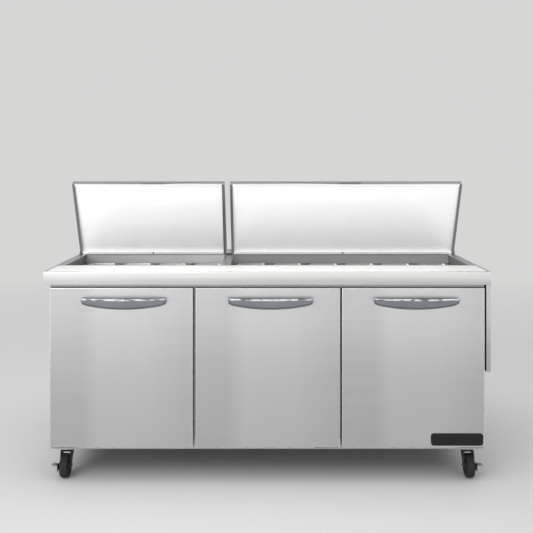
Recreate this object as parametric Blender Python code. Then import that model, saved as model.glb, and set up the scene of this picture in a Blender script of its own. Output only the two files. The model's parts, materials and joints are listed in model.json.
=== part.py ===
"""Three-door refrigerated sandwich prep table on casters, with two hinged hoods over its pan rail.

Metres, +Z up. The front faces -Y, and +X is on the right of someone facing the front.
The origin is on the floor, under the middle of the table's bounding box.
"""

import itertools
import math

import bmesh
import bpy
from mathutils import Matrix, Vector

GAP = 0.0003            # clearance between pieces that touch
SHEET = 0.0015          # sheet metal of the cabinet, doors and hoods

# Worktop
WORKTOP_WIDTH = 1.829
WORKTOP_DEPTH = 0.762
WORKTOP_Z = 0.868
WORKTOP_SHEET = 0.002
FASCIA_HEIGHT = 0.0545
BOARD_THICKNESS = 0.0127
BOARD_LIP = 0.010       # steel left in front of the cutting board
BOARD_DEPTH = 0.163
BOARD_END_LIP = 0.012

# Doors and their handles
HANDLE_REACH = 0.038
HANDLE_HALF_WIDTH = 0.1735
HANDLE_TOP_Z = 0.762
HANDLE_MIDDLE_HEIGHT = 0.050
HANDLE_END_HEIGHT = 0.030
HANDLE_WALL = 0.002
HANDLE_OFFSET_X = 0.012
DOOR_SETBACK = 0.002    # door face behind the fascia
DOOR_DEPTH = 0.048
DOOR_BOTTOM_Z = 0.148
DOOR_TOP_Z = 0.8005
DOOR_EDGES_X = ((-0.889, -0.3045), (-0.293, 0.2968), (0.3062, 0.889))
DOOR_NAMES = ("left", "middle", "right")
DOOR_HINGE_SIDES = (-1, 1, 1)
DOOR_PIVOT_INSET = 0.014
DOOR_PIN_RADIUS = 0.004
LINER_SHEET = 0.002
GASKET_INSET = 0.015
GASKET_WIDTH = 0.018
FRAME_SETBACK = 0.060   # cabinet face behind the fascia

# Cabinet
CABINET_WIDTH = 1.778
CABINET_BOTTOM_Z = 0.120
REAR_OVERHANG = 0.012
WALL = 0.045            # insulation
FRAME_DEPTH = 0.040
MULLION_X = 0.300
MULLION_WIDTH = 0.050
CEILING_Z = 0.700
FLOOR_Z = 0.165
OPENING_TOP_Z = 0.765
MACHINE_DEPTH = 0.215
MACHINE_TOP_Z = 0.385

# Pan rail
WELL_FRONT = 0.183      # behind the fascia
WELL_REAR = 0.551
WELL_EDGES_X = ((-0.876, -0.2026), (-0.1614, 0.876))
WELL_COLUMNS = (4, 6)
WELL_LEDGE = 0.010
PAN_RIM_Z = 0.827
PAN_DEPTH = 0.100
PAN_LENGTH = 0.176
PAN_WIDTH = 0.160
PAN_FLANGE = 0.008
PAN_SHEET = 0.0012
PAN_ROW_PITCH = 0.182
SUPPORT_THICKNESS = 0.003
SUPPORT_CLEARANCE = 0.002

# Hoods
LID_EDGES_X = ((-0.903, -0.198), (-0.1726, 0.903))
LID_GRIP_X = (-0.527, 0.383)
LID_NAMES = ("left", "right")
LID_PIVOT = (0.550, 0.8785)       # behind the fascia, height
LID_REACH = 0.370                 # pivot to front edge
LID_REAR = 0.006
LID_DROP = 0.008                  # pivot above the rim
LID_FRONT_HEIGHT = 0.033
LID_REAR_HEIGHT = 0.078
LID_FRONT_RECESS = 0.006
LID_REAR_RECESS = 0.0125
LID_RIM = 0.012
LID_OPEN_DEG = 65.8
GRIP_WIDTH = 0.100
GRIP_REACH = 0.012
LID_PIN_RADIUS = 0.003

# Casters
CASTER_X = 0.843
CASTER_SETBACK = 0.0406           # swivel axis inside the cabinet's front and rear faces
CASTER_TRAIL = 0.028
WHEEL_RADIUS = 0.0475
WHEEL_HALF_WIDTH = 0.016
AXLE_RADIUS = 0.006
FORK_HALF_WIDTH = 0.022
FORK_SHEET = 0.003
PLATE_SIDE = 0.080
RACE_RADIUS = 0.024
RACE_HEIGHT = 0.010
KING_PIN_RADIUS = 0.005
KING_PIN_LENGTH = 0.008
PLATE_THICKNESS = 0.003

# Inside the cabinet
SHELF_Z = 0.440
SHELF_WIRE = 0.005
SHELF_EDGES_X = ((-0.838, -0.290), (-0.274, 0.274), (0.290, 0.838))
SHELF_WIRES = 11
EVAPORATOR_X = 0.430
EVAPORATOR_Y = (0.215, 0.333)
EVAPORATOR_Z = (0.475, 0.690)
EVAPORATOR_SLOTS = (13, 0.040)    # how many between the groups of fins, and their width

# Machine space and rear
FAN_RADIUS = 0.062
CONDENSER_FAN = (0.060, 0.262, 0.250)
CONDENSER_X = (-0.080, 0.200)
CONDENSER_Y = (0.325, 0.370)
CONDENSER_HEIGHT = 0.245
CONDENSER_SLOTS = (7, 0.016)
COMPRESSOR_PLACE = (-0.300, 0.278)
COMPRESSOR_RADIUS = 0.082
COMPRESSOR_SHOULDER = 0.110
COMPRESSOR_DOME = 0.065
COMPRESSOR_FOOT = (0.095, 0.060, 0.006)     # half length, half width, thickness
COMPRESSOR_BORE = (0.058, 0.120)            # radius and depth of the hollow under the pot
LOUVRE_COLUMNS = (-0.760, 0.420, 4)         # first left edge, pitch, count
LOUVRE_ROWS = (0.045, 0.020, 9)             # first height over the lower edge, pitch, count
LOUVRE_SIZE = (0.260, 0.010)
CONTROLLER_HALF_WIDTH = 0.045
CONTROLLER_Z = (0.440, 0.480)
GLAND_PLACE = (0.820, 0.150)                # x and z

# Trim
COVER_STEP_X = 0.8967
COVER_BOTTOM_Z = 0.4565
LABEL_CENTRE = (0.7755, 0.1815)             # x and z
LABEL_HALF_WIDTH = 0.107
LABEL_HALF_HEIGHT = 0.0253
LABEL_CORNER = 0.012
LABEL_THICKNESS = 0.001

# Everything below follows from the values above.
FRONT_Y = HANDLE_REACH - (WORKTOP_DEPTH + HANDLE_REACH - DOOR_SETBACK) / 2 - DOOR_SETBACK
BACK_Y = FRONT_Y + WORKTOP_DEPTH
HALF_WIDTH = WORKTOP_WIDTH / 2
BODY_X = CABINET_WIDTH / 2
BODY_FRONT = FRONT_Y + FRAME_SETBACK
BODY_BACK = BACK_Y - REAR_OVERHANG
WELL_TOP = WORKTOP_Z - WORKTOP_SHEET - GAP
BODY_TOP = WELL_TOP - BOARD_THICKNESS - GAP
BODY_BASE = CABINET_BOTTOM_Z + SHEET + GAP
CAVITY_X = BODY_X - SHEET - WALL
CAVITY_FRONT = BODY_FRONT + FRAME_DEPTH + 2 * SHEET
CAVITY_BACK = BODY_BACK - SHEET - WALL
MACHINE_FRONT = BODY_BACK - MACHINE_DEPTH
STEP_FRONT = MACHINE_FRONT - WALL + 0.005
STEP_TOP = MACHINE_TOP_Z + WALL
WELL_Y = (FRONT_Y + WELL_FRONT, FRONT_Y + WELL_REAR)
DOOR_FACE = FRONT_Y + DOOR_SETBACK
DOOR_BACK = DOOR_FACE + DOOR_DEPTH
LEDGE_Z = PAN_RIM_Z - PAN_SHEET - SUPPORT_THICKNESS - 2 * GAP


# ---------------------------------------------------------------- materials

def material(name, color, roughness, metallic=0.0):
    """A Principled material, made once."""
    found = bpy.data.materials.get(name)
    if found:
        return found
    made = bpy.data.materials.new(name)
    made.use_nodes = True
    shader = made.node_tree.nodes["Principled BSDF"]
    shader.inputs["Base Color"].default_value = (*color, 1.0)
    shader.inputs["Roughness"].default_value = roughness
    shader.inputs["Metallic"].default_value = metallic
    made.diffuse_color = (*color, 1.0)
    return made


def steel():
    return material("brushed_stainless", (0.62, 0.62, 0.63), 0.32, 1.0)


def chrome():
    return material("chrome_plate", (0.75, 0.76, 0.78), 0.08, 1.0)


def zinc():
    return material("zinc_plated_steel", (0.55, 0.56, 0.58), 0.35, 1.0)


def aluminium():
    return material("fin_aluminium", (0.78, 0.79, 0.80), 0.4, 1.0)


def black_paint():
    return material("black_paint", (0.02, 0.02, 0.02), 0.35)


def white_liner():
    return material("white_liner", (0.88, 0.89, 0.88), 0.2)


def board_plastic():
    return material("board_polyethylene", (0.90, 0.90, 0.87), 0.55)


def black_rubber():
    return material("black_rubber", (0.02, 0.02, 0.02), 0.8)


def black_plastic():
    return material("black_plastic", (0.015, 0.015, 0.017), 0.4)


def foam():
    return material("insulation_foam", (0.80, 0.70, 0.42), 0.9)


# ---------------------------------------------------------------- modelling helpers

def link(name, mesh, finish):
    piece = bpy.data.objects.new(name, mesh)
    bpy.context.scene.collection.objects.link(piece)
    if finish:
        mesh.materials.append(finish)
    return piece


def to_mesh(name, bm):
    bmesh.ops.recalc_face_normals(bm, faces=bm.faces)
    mesh = bpy.data.meshes.new(name)
    bm.to_mesh(mesh)
    bm.free()
    return mesh


def box(x, y, z):
    """A box as three (low, high) pairs."""
    return (tuple(x), tuple(y), tuple(z))


def inside(point, boxes):
    return any(all(lo < p < hi for p, (lo, hi) in zip(point, b)) for b in boxes)


def box_solid(name, finish, add, cut=(), place=None):
    """One closed solid: every box in add, less every box in cut. place moves each corner afterwards."""
    levels = []
    for axis in range(3):
        values = {round(v, 7) for b in (*add, *cut) for v in b[axis]}
        levels.append(sorted(values))
    middles = [[(a + b) / 2 for a, b in itertools.pairwise(row)] for row in levels]
    filled = set()
    for cell in itertools.product(*(range(len(row)) for row in middles)):
        centre = [middles[axis][i] for axis, i in enumerate(cell)]
        if inside(centre, add) and not inside(centre, cut):
            filled.add(cell)
    bm = bmesh.new()
    corners = {}

    def corner(index):
        if index not in corners:
            point = Vector(levels[axis][i] for axis, i in enumerate(index))
            corners[index] = bm.verts.new(place(point) if place else point)
        return corners[index]

    for cell in sorted(filled):
        for axis, side in itertools.product(range(3), (0, 1)):
            beyond = list(cell)
            beyond[axis] += 1 if side else -1
            if tuple(beyond) in filled:
                continue
            a, b = [(axis + 1) % 3, (axis + 2) % 3]
            ring = []
            for da, db in ((0, 0), (1, 0), (1, 1), (0, 1)):
                index = list(cell)
                index[axis] += side
                index[a] += da
                index[b] += db
                ring.append(corner(tuple(index)))
            bm.faces.new(ring if side else ring[::-1])
    bmesh.ops.dissolve_limit(bm, angle_limit=0.0005, verts=bm.verts, edges=bm.edges)
    return link(name, to_mesh(name, bm), finish)


def prism(name, finish, outline, low, high, axis="x"):
    """An outline extruded from low to high. Its points are (y, z) along x, or (x, z) along y."""
    bm = bmesh.new()

    def point(p, depth):
        if axis == "x":
            return (depth, p[0], p[1])
        return (p[0], depth, p[1])

    ends = [[bm.verts.new(point(p, depth)) for p in outline] for depth in (low, high)]
    for ring in ends:
        bm.faces.new(ring)
    bmesh.ops.bridge_loops(bm, edges=[e for e in bm.edges])
    return link(name, to_mesh(name, bm), finish)


def turned(name, finish, profile, segments=24, axis="z"):
    """A (radius, height) outline turned about +Z, or with its height along +X or +Y.

    A closed outline off the axis gives a ring, and one that starts and ends at radius 0 gives a solid.
    """
    bm = bmesh.new()
    rings = []
    for radius, height in profile:
        if radius == 0:
            rings.append([bm.verts.new((0, 0, height))])
            continue
        rings.append([
            bm.verts.new((radius * math.cos(t), radius * math.sin(t), height))
            for t in (2 * math.pi * k / segments for k in range(segments))
        ])
    if profile[0][0] > 0:
        rings.append(rings[0])
    for lower, upper in itertools.pairwise(rings):
        for k in range(segments):
            n = (k + 1) % segments
            low, high = len(lower), len(upper)
            face = [lower[k % low], lower[n % low], upper[n % high], upper[k % high]]
            bm.faces.new(list(dict.fromkeys(face)))
    if axis == "x":
        bmesh.ops.rotate(bm, verts=bm.verts, matrix=Matrix.Rotation(math.pi / 2, 3, "Y"))
    if axis == "y":
        bmesh.ops.rotate(bm, verts=bm.verts, matrix=Matrix.Rotation(-math.pi / 2, 3, "X"))
    made = link(name, to_mesh(name, bm), finish)
    made.data.shade_smooth()
    made.data.set_sharp_from_angle(angle=math.radians(35))
    return made


def rod(name, finish, radius, low, high, segments=16, axis="z"):
    return turned(name, finish, [(0, low), (radius, low), (radius, high), (0, high)], segments, axis)


def helper(piece):
    """Hides a shape that only cuts or joins."""
    piece.hide_render = True
    piece.display_type = "WIRE"
    return piece


def combine(piece, other, operation):
    helper(other)
    modifier = piece.modifiers.new(f"{operation.lower()}_{other.name}", "BOOLEAN")
    modifier.operation = operation
    modifier.object = other
    modifier.solver = "EXACT"
    return piece


def cut(piece, cutter):
    return combine(piece, cutter, "DIFFERENCE")


def join(piece, other):
    return combine(piece, other, "UNION")


def at(piece, x, y, z):
    piece.location = (x, y, z)
    return piece


# ---------------------------------------------------------------- cabinet

def cabinet_skins():
    """Side and rear sheets."""
    for side, name in ((-1, "side_panel_left"), (1, "side_panel_right")):
        x = sorted((side * BODY_X, side * (BODY_X - SHEET)))
        box_solid(name, steel(), [
            box(x, (BODY_FRONT + SHEET + GAP, BODY_BACK), (BODY_BASE, BODY_TOP)),
        ])
    half = BODY_X - SHEET - GAP
    box_solid("back_panel", steel(), [
        box((-half, half), (BODY_BACK - SHEET, BODY_BACK), (MACHINE_TOP_Z + 2 * SHEET, BODY_TOP)),
    ])


def door_openings():
    """(low x, high x) of each opening in the front frame."""
    half = MULLION_WIDTH / 2
    edges = (-CAVITY_X, -MULLION_X - half, -MULLION_X + half, MULLION_X - half, MULLION_X + half, CAVITY_X)
    return tuple(zip(edges[::2], edges[1::2]))


def front_frame():
    """Face sheet with three openings, each with a folded jamb, and a back on each mullion."""
    jamb_y = (BODY_FRONT, BODY_FRONT + FRAME_DEPTH)
    add = [box((-BODY_X, BODY_X), (BODY_FRONT, BODY_FRONT + SHEET), (BODY_BASE, BODY_TOP))]
    openings = []
    for low, high in door_openings():
        add.append(box((low - SHEET, high + SHEET), jamb_y, (FLOOR_Z - SHEET, OPENING_TOP_Z + SHEET)))
        openings.append(box((low, high), (BODY_FRONT - 1, BODY_FRONT + 1), (FLOOR_Z, OPENING_TOP_Z)))
    for side in (-1, 1):
        x = sorted((side * (MULLION_X - MULLION_WIDTH / 2), side * (MULLION_X + MULLION_WIDTH / 2)))
        back = (BODY_FRONT + FRAME_DEPTH - SHEET, BODY_FRONT + FRAME_DEPTH)
        add.append(box(x, back, (FLOOR_Z - SHEET, OPENING_TOP_Z + SHEET)))
    box_solid("front_frame", steel(), add, openings)


def cavity_boxes(grow):
    """The refrigerated space, grown on every side: above the machine space's step, and in front of it."""
    x = (-CAVITY_X - grow, CAVITY_X + grow)
    upper = box(x, (CAVITY_FRONT, CAVITY_BACK + grow), (STEP_TOP - grow, CEILING_Z + grow))
    lower = box(x, (CAVITY_FRONT, STEP_FRONT + grow), (FLOOR_Z - grow, CEILING_Z + grow))
    return [upper, lower]


def interior_liner():
    """Stepped tub, open at the front, and open above into both pan wells."""
    mouth = box((-CAVITY_X, CAVITY_X), (CAVITY_FRONT - 1, CAVITY_FRONT), (FLOOR_Z, CEILING_Z))
    throats = [
        box((max(low, -CAVITY_X), min(high, CAVITY_X)), WELL_Y, (CEILING_Z - SHEET, CEILING_Z + 2 * SHEET))
        for low, high in WELL_EDGES_X
    ]
    box_solid("interior_liner", white_liner(), cavity_boxes(SHEET), [*cavity_boxes(0), mouth, *throats])


def insulation():
    """Foam between the outer skins, the liner and the wells."""
    skin = SHEET + GAP
    block = box(
        (-BODY_X + skin, BODY_X - skin), (CAVITY_FRONT, BODY_BACK - skin), (BODY_BASE, BODY_TOP - GAP))
    machine = box((-BODY_X, BODY_X), (MACHINE_FRONT, BODY_BACK), (0, MACHINE_TOP_Z))
    rail = box(
        (WELL_EDGES_X[0][0] - skin, WELL_EDGES_X[1][1] + skin),
        (WELL_Y[0] - skin, WELL_Y[1] + skin), (CEILING_Z, BODY_TOP))
    box_solid("insulation", foam(), [block], [machine, rail, *cavity_boxes(skin)])


def worktop():
    """Top sheet with a turned-down edge all round, a recess for the board and two pan openings."""
    x = (-HALF_WIDTH, HALF_WIDTH)
    y = (FRONT_Y, BACK_Y)
    skirt_z = (WORKTOP_Z - FASCIA_HEIGHT, WORKTOP_Z)
    top_z = (WORKTOP_Z - WORKTOP_SHEET, WORKTOP_Z)
    board_x = (-HALF_WIDTH + BOARD_END_LIP, HALF_WIDTH - BOARD_END_LIP)
    board_y = (FRONT_Y + BOARD_LIP, FRONT_Y + BOARD_LIP + BOARD_DEPTH)
    recess_z = WORKTOP_Z - BOARD_THICKNESS - GAP
    wall = WORKTOP_SHEET
    tray = box(
        (board_x[0] - wall, board_x[1] + wall), (board_y[0] - wall, board_y[1] + wall),
        (recess_z - wall, WORKTOP_Z))
    add = [
        box(x, y, top_z),
        box(x, (y[0], y[0] + wall), skirt_z),
        box(x, (y[1] - wall, y[1]), skirt_z),
        box((x[0], x[0] + wall), y, skirt_z),
        box((x[1] - wall, x[1]), y, skirt_z),
        tray,
    ]
    openings = [box(edges, WELL_Y, (0, 1)) for edges in WELL_EDGES_X]
    box_solid("worktop", steel(), add, [box(board_x, board_y, (recess_z, 1)), *openings])


def cutting_board():
    x = HALF_WIDTH - BOARD_END_LIP - GAP
    y = FRONT_Y + BOARD_LIP
    box_solid("cutting_board", board_plastic(), [
        box((-x, x), (y + GAP, y + BOARD_DEPTH - GAP), (WORKTOP_Z - BOARD_THICKNESS, WORKTOP_Z)),
    ])


def pan_wells():
    """Four walls under each pan opening, with a ledge for the pan supports, and a bridge between them."""
    top = WELL_TOP
    bottom = CEILING_Z + SHEET + GAP
    ledge_y = (WELL_Y[0] + WELL_LEDGE, WELL_Y[1] - WELL_LEDGE)
    bridge = box((WELL_EDGES_X[0][1], WELL_EDGES_X[1][0]), WELL_Y, (LEDGE_Z - SHEET, LEDGE_Z))
    add = [bridge]
    hollows = []
    for low, high in WELL_EDGES_X:
        add.append(box((low - SHEET, high + SHEET), (WELL_Y[0] - SHEET, WELL_Y[1] + SHEET), (bottom, top)))
        hollows.append(box((low, high), WELL_Y, (LEDGE_Z, top)))
        hollows.append(box((low + WELL_LEDGE, high - WELL_LEDGE), ledge_y, (bottom, top)))
        hollows.append(box((low, high), WELL_Y, (bottom, LEDGE_Z - SHEET)))
    box_solid("pan_wells", steel(), add, hollows)


def column_centres(well):
    low, high = WELL_EDGES_X[well]
    count = WELL_COLUMNS[well]
    pitch = (high - low) / count
    return [low + pitch * (k + 0.5) for k in range(count)]


def row_centres():
    middle = sum(WELL_Y) / 2
    return (middle - PAN_ROW_PITCH / 2, middle + PAN_ROW_PITCH / 2)


def pan_supports(well):
    """Flat grid of adapter bars in a well, with one hole for each pan."""
    low, high = WELL_EDGES_X[well]
    half_x = PAN_WIDTH / 2 - PAN_FLANGE + SUPPORT_CLEARANCE
    half_y = PAN_LENGTH / 2 - PAN_FLANGE + SUPPORT_CLEARANCE
    plate = box(
        (low + GAP, high - GAP), (WELL_Y[0] + GAP, WELL_Y[1] - GAP),
        (LEDGE_Z + GAP, LEDGE_Z + GAP + SUPPORT_THICKNESS))
    holes = [
        box((x - half_x, x + half_x), (y - half_y, y + half_y), (0, 1))
        for x in column_centres(well) for y in row_centres()
    ]
    box_solid(f"pan_supports_{LID_NAMES[well]}", steel(), [plate], holes)


def pan_set(name, columns):
    """Sixth-size food pans, two columns by two rows, their rims joined into one sheet."""
    wall_x = PAN_WIDTH / 2 - PAN_FLANGE
    wall_y = PAN_LENGTH / 2 - PAN_FLANGE
    rows = row_centres()
    bottom = PAN_RIM_Z - PAN_DEPTH
    rim = box(
        (columns[0] - PAN_WIDTH / 2, columns[1] + PAN_WIDTH / 2),
        (rows[0] - PAN_LENGTH / 2, rows[1] + PAN_LENGTH / 2), (PAN_RIM_Z - PAN_SHEET, PAN_RIM_Z))
    bodies = []
    hollows = []
    for x, y in itertools.product(columns, rows):
        bodies.append(box((x - wall_x, x + wall_x), (y - wall_y, y + wall_y), (bottom, PAN_RIM_Z)))
        inner_x = wall_x - PAN_SHEET
        inner_y = wall_y - PAN_SHEET
        hollows.append(box((x - inner_x, x + inner_x), (y - inner_y, y + inner_y), (bottom + PAN_SHEET, 1)))
    box_solid(name, steel(), [rim, *bodies], hollows)


def food_pans():
    """Five sets of pans, numbered from the left."""
    columns = column_centres(0) + column_centres(1)
    for number, pair in enumerate(zip(columns[::2], columns[1::2]), start=1):
        pan_set(f"food_pans_{number}", pair)


def side_service_cover():
    """Shallow cover on the right side panel, wrapped round to the front beside the door."""
    x = (BODY_X + GAP, COVER_STEP_X, HALF_WIDTH - 0.0005)
    y = (FRONT_Y + 0.0045, BODY_FRONT + SHEET + 2 * GAP, BODY_BACK - 0.004)
    z = (COVER_BOTTOM_Z, WORKTOP_Z - FASCIA_HEIGHT - GAP)
    shell = [box((x[1], x[2]), (y[0], y[2]), z), box((x[0], x[2]), (y[1], y[2]), z)]
    hollow = box((0, x[2] - SHEET), (y[0] + SHEET, y[2] - SHEET), (z[0] + SHEET, z[1] - SHEET))
    box_solid("side_service_cover", steel(), shell, [hollow])


# ---------------------------------------------------------------- doors

def door_pivot(door):
    """(x, y) of a door's hinge axis."""
    side = DOOR_HINGE_SIDES[door]
    edge = DOOR_EDGES_X[door][0 if side < 0 else 1]
    return edge - side * DOOR_PIVOT_INSET, DOOR_FACE + DOOR_PIVOT_INSET


def door_shell(door):
    """Pressed outer tray, open at the back, with a hole for each hinge pin."""
    low, high = DOOR_EDGES_X[door]
    outer = box((low, high), (DOOR_FACE, DOOR_BACK), (DOOR_BOTTOM_Z, DOOR_TOP_Z))
    hollow = box(
        (low + SHEET, high - SHEET), (DOOR_FACE + SHEET, 1), (DOOR_BOTTOM_Z + SHEET, DOOR_TOP_Z - SHEET))
    name = DOOR_NAMES[door]
    shell = box_solid(f"door_{name}_shell", steel(), [outer], [hollow])
    x, y = door_pivot(door)
    drill = rod(f"drill_door_{name}", None, DOOR_PIN_RADIUS + GAP, DOOR_BOTTOM_Z - 0.01, DOOR_TOP_Z + 0.01)
    cut(shell, at(drill, x, y, 0))


def door_liner(door):
    """Inner tray that closes the back of the door."""
    low, high = DOOR_EDGES_X[door]
    inset = SHEET + GAP
    y = DOOR_BACK + GAP
    plate = box((low, high), (y, y + LINER_SHEET), (DOOR_BOTTOM_Z, DOOR_TOP_Z))
    x = (low + inset, high - inset)
    z = (DOOR_BOTTOM_Z + inset, DOOR_TOP_Z - inset)
    rim = box(x, (y - 0.020, y), z)
    wall = LINER_SHEET
    hollow = box((x[0] + wall, x[1] - wall), (0 - 1, y), (z[0] + wall, z[1] - wall))
    box_solid(f"door_{DOOR_NAMES[door]}_liner", white_liner(), [plate, rim], [hollow])


def door_gasket(door):
    low, high = DOOR_EDGES_X[door]
    y = (DOOR_BACK + LINER_SHEET + 2 * GAP, BODY_FRONT - GAP)
    outer = box(
        (low + GASKET_INSET, high - GASKET_INSET), y,
        (DOOR_BOTTOM_Z + GASKET_INSET, DOOR_TOP_Z - GASKET_INSET))
    hole = [(a + GASKET_WIDTH, b - GASKET_WIDTH) for a, b in (outer[0], outer[2])]
    middle = box(hole[0], (-1, 1), hole[1])
    box_solid(f"door_{DOOR_NAMES[door]}_gasket", black_rubber(), [outer], [middle])


def scoop(name, inset, top, back):
    """The outline of a handle, lofted along x: a flat top, and a curved front deepest at mid-width."""
    stations = 12
    points = 7
    half = HANDLE_HALF_WIDTH - inset
    bm = bmesh.new()
    rings = []
    for k in range(stations + 1):
        u = -1 + 2 * k / stations
        height = HANDLE_END_HEIGHT + (HANDLE_MIDDLE_HEIGHT - HANDLE_END_HEIGHT) * (1 - u * u) - inset
        reach = HANDLE_REACH * (1 - 0.25 * u * u) - inset - GAP
        ring = [(back, top), (-reach, top)]
        for j in range(points):
            t = math.pi / 2 * j / (points - 1)
            ring.append((-reach * math.cos(t), -height * (0.2 + 0.8 * math.sin(t))))
        ring.append((back, -height))
        rings.append([bm.verts.new((u * half, y, z)) for y, z in dict.fromkeys(ring)])
    for one, two in itertools.pairwise(rings):
        for k in range(len(one)):
            n = (k + 1) % len(one)
            bm.faces.new([one[k], one[n], two[n], two[k]])
    bm.faces.new(rings[0])
    bm.faces.new(rings[-1])
    return link(name, to_mesh(name, bm), chrome())


def door_handle(door):
    """Scoop pull, open above and behind, so that fingers reach in from the top."""
    low, high = DOOR_EDGES_X[door]
    name = DOOR_NAMES[door]
    x = (low + high) / 2 + HANDLE_OFFSET_X
    outer = at(scoop(f"door_{name}_handle", 0.0, 0.0, 0.0), x, DOOR_FACE - GAP, HANDLE_TOP_Z)
    inner = at(scoop(f"hollow_{name}_handle", HANDLE_WALL, 0.01, 0.01), x, DOOR_FACE - GAP, HANDLE_TOP_Z)
    cut(outer, inner)


def label_plate():
    """Blank plate low on the right door."""
    corner = LABEL_CORNER
    outline = []
    for quarter, (sx, sz) in enumerate(((1, 1), (-1, 1), (-1, -1), (1, -1))):
        for k in range(4):
            t = math.pi / 2 * (quarter + k / 3)
            x = sx * (LABEL_HALF_WIDTH - corner) + corner * math.cos(t)
            outline.append((x, sz * (LABEL_HALF_HEIGHT - corner) + corner * math.sin(t)))
    front = DOOR_FACE - GAP - LABEL_THICKNESS
    plate = prism("label_plate", black_plastic(), outline, front, DOOR_FACE - GAP, "y")
    at(plate, LABEL_CENTRE[0], 0, LABEL_CENTRE[1])


def hinge_rail(name, over):
    """Strip screwed to the frame above or below the doors, with a bracket and a pin for each door.

    The upper one reaches forward as a lipped shelf that closes the gap over the doors.
    """
    edge = DOOR_TOP_Z if over else DOOR_BOTTOM_Z
    up = 1 if over else -1
    clearance, plate, tab, bite = 0.0025, 0.003, 0.018, 0.008
    reach, inward, outward = 0.006, 0.088, 0.010
    bracket_z = sorted((edge + up * clearance, edge + up * (clearance + plate)))
    strip_z = sorted((edge + up * clearance, edge + up * tab))
    frame_y = BODY_FRONT - GAP
    width = (-BODY_X + SHEET, BODY_X - SHEET)
    add = [box(width, (frame_y - plate, frame_y), strip_z)]
    if over:
        lip_y = FRONT_Y + reach
        add.append(box(width, (lip_y, frame_y), bracket_z))
        add.append(box(width, (lip_y, lip_y + SHEET), (bracket_z[0], WORKTOP_Z - FASCIA_HEIGHT - 2 * GAP)))
    for door, side in enumerate(DOOR_HINGE_SIDES):
        x, _ = door_pivot(door)
        ends = sorted((x + side * outward, x - side * inward))
        add.append(box(ends, (FRONT_Y + reach, frame_y), bracket_z))
    rail = box_solid(name, zinc(), add)
    pin_z = sorted((edge - up * bite, edge + up * (clearance + plate / 2)))
    for door, door_name in enumerate(DOOR_NAMES):
        pin = rod(f"pin_{name}_{door_name}", None, DOOR_PIN_RADIUS, *pin_z)
        join(rail, at(pin, *door_pivot(door), 0))


# ---------------------------------------------------------------- hoods

RIM, FLANGE, RECESS, SKIN, CROWN = range(5)   # heights in a hood, from its rim to the top of its skin


def hood_place(point):
    """Turns a hood's level number into a height, which grows from the front edge to the rear."""
    along = (point.y + LID_REACH) / (LID_REACH + LID_REAR)
    along = min(max(along, 0.0), 1.0)
    recess = LID_FRONT_RECESS + (LID_REAR_RECESS - LID_FRONT_RECESS) * along
    crown = LID_FRONT_HEIGHT + (LID_REAR_HEIGHT - LID_FRONT_HEIGHT) * along
    heights = {RIM: 0, FLANGE: SHEET, RECESS: recess, SKIN: crown - SHEET, CROWN: crown}
    low = math.floor(point.z)
    high = math.ceil(point.z)
    part = point.z - low
    height = heights[low] * (1 - part) + heights[high] * part
    return Vector((point.x, point.y, height - LID_DROP))


def hood_shell(lid):
    """Sheet-metal hood: skin, rim and the inner walls down to the liner, with a tongue to lift it by."""
    x = LID_EDGES_X[lid]
    y = (-LID_REACH, LID_REAR)
    inner_x = (x[0] + SHEET, x[1] - SHEET)
    inner_y = (y[0] + SHEET, y[1] - SHEET)
    wall_x = (x[0] + LID_RIM - SHEET, x[1] - LID_RIM + SHEET)
    wall_y = (y[0] + LID_RIM - SHEET, y[1] - LID_RIM + SHEET)
    mouth_x = (x[0] + LID_RIM, x[1] - LID_RIM)
    mouth_y = (y[0] + LID_RIM, y[1] - LID_RIM)
    grip = (LID_GRIP_X[lid] - GRIP_WIDTH / 2, LID_GRIP_X[lid] + GRIP_WIDTH / 2)
    add = [
        box(x, y, (RIM, CROWN)),
        box(grip, (y[0] - GRIP_REACH, y[0]), (RIM, FLANGE)),
    ]
    hollows = [
        box(inner_x, inner_y, (RECESS, SKIN)),
        box(mouth_x, mouth_y, (RIM, RECESS)),
        box(inner_x, (inner_y[0], wall_y[0]), (FLANGE, RECESS)),
        box(inner_x, (wall_y[1], inner_y[1]), (FLANGE, RECESS)),
        box((inner_x[0], wall_x[0]), inner_y, (FLANGE, RECESS)),
        box((wall_x[1], inner_x[1]), inner_y, (FLANGE, RECESS)),
    ]
    name = f"lid_{LID_NAMES[lid]}_shell"
    shell = box_solid(name, steel(), add, hollows, hood_place)
    hang(shell)
    drill = rod(f"drill_{name}", None, LID_PIN_RADIUS + GAP, x[0] - 0.01, x[0] + 0.005, axis="x")
    cut(shell, hang(drill))
    drill = rod(f"drill_far_{name}", None, LID_PIN_RADIUS + GAP, x[1] - 0.005, x[1] + 0.01, axis="x")
    cut(shell, hang(drill))


def hood_liner(lid):
    """White tray between the inner walls and the skin, open towards the skin."""
    low, high = LID_EDGES_X[lid]
    inset = SHEET + GAP
    x = (low + inset, high - inset)
    y = (-LID_REACH + inset, LID_REAR - inset)
    wall = LINER_SHEET
    tray_floor = RECESS + (SKIN - RECESS) * LINER_SHEET / (LID_FRONT_HEIGHT - SHEET - LID_FRONT_RECESS)
    hollow = box((x[0] + wall, x[1] - wall), (y[0] + wall, y[1] - wall), (tray_floor, SKIN))

    def place(point):
        lift = GAP if point.z < (RECESS + SKIN) / 2 else -GAP
        return hood_place(point) + Vector((0, 0, lift))
    tray = box(x, y, (RECESS, SKIN))
    liner = box_solid(f"lid_{LID_NAMES[lid]}_liner", white_liner(), [tray], [hollow], place)
    hang(liner)


def hang(piece):
    """Puts a piece made about a closed hood's pivot at the hood's open place."""
    piece.rotation_euler.x = -math.radians(LID_OPEN_DEG)
    return at(piece, 0, FRONT_Y + LID_PIVOT[0], LID_PIVOT[1])


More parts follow.
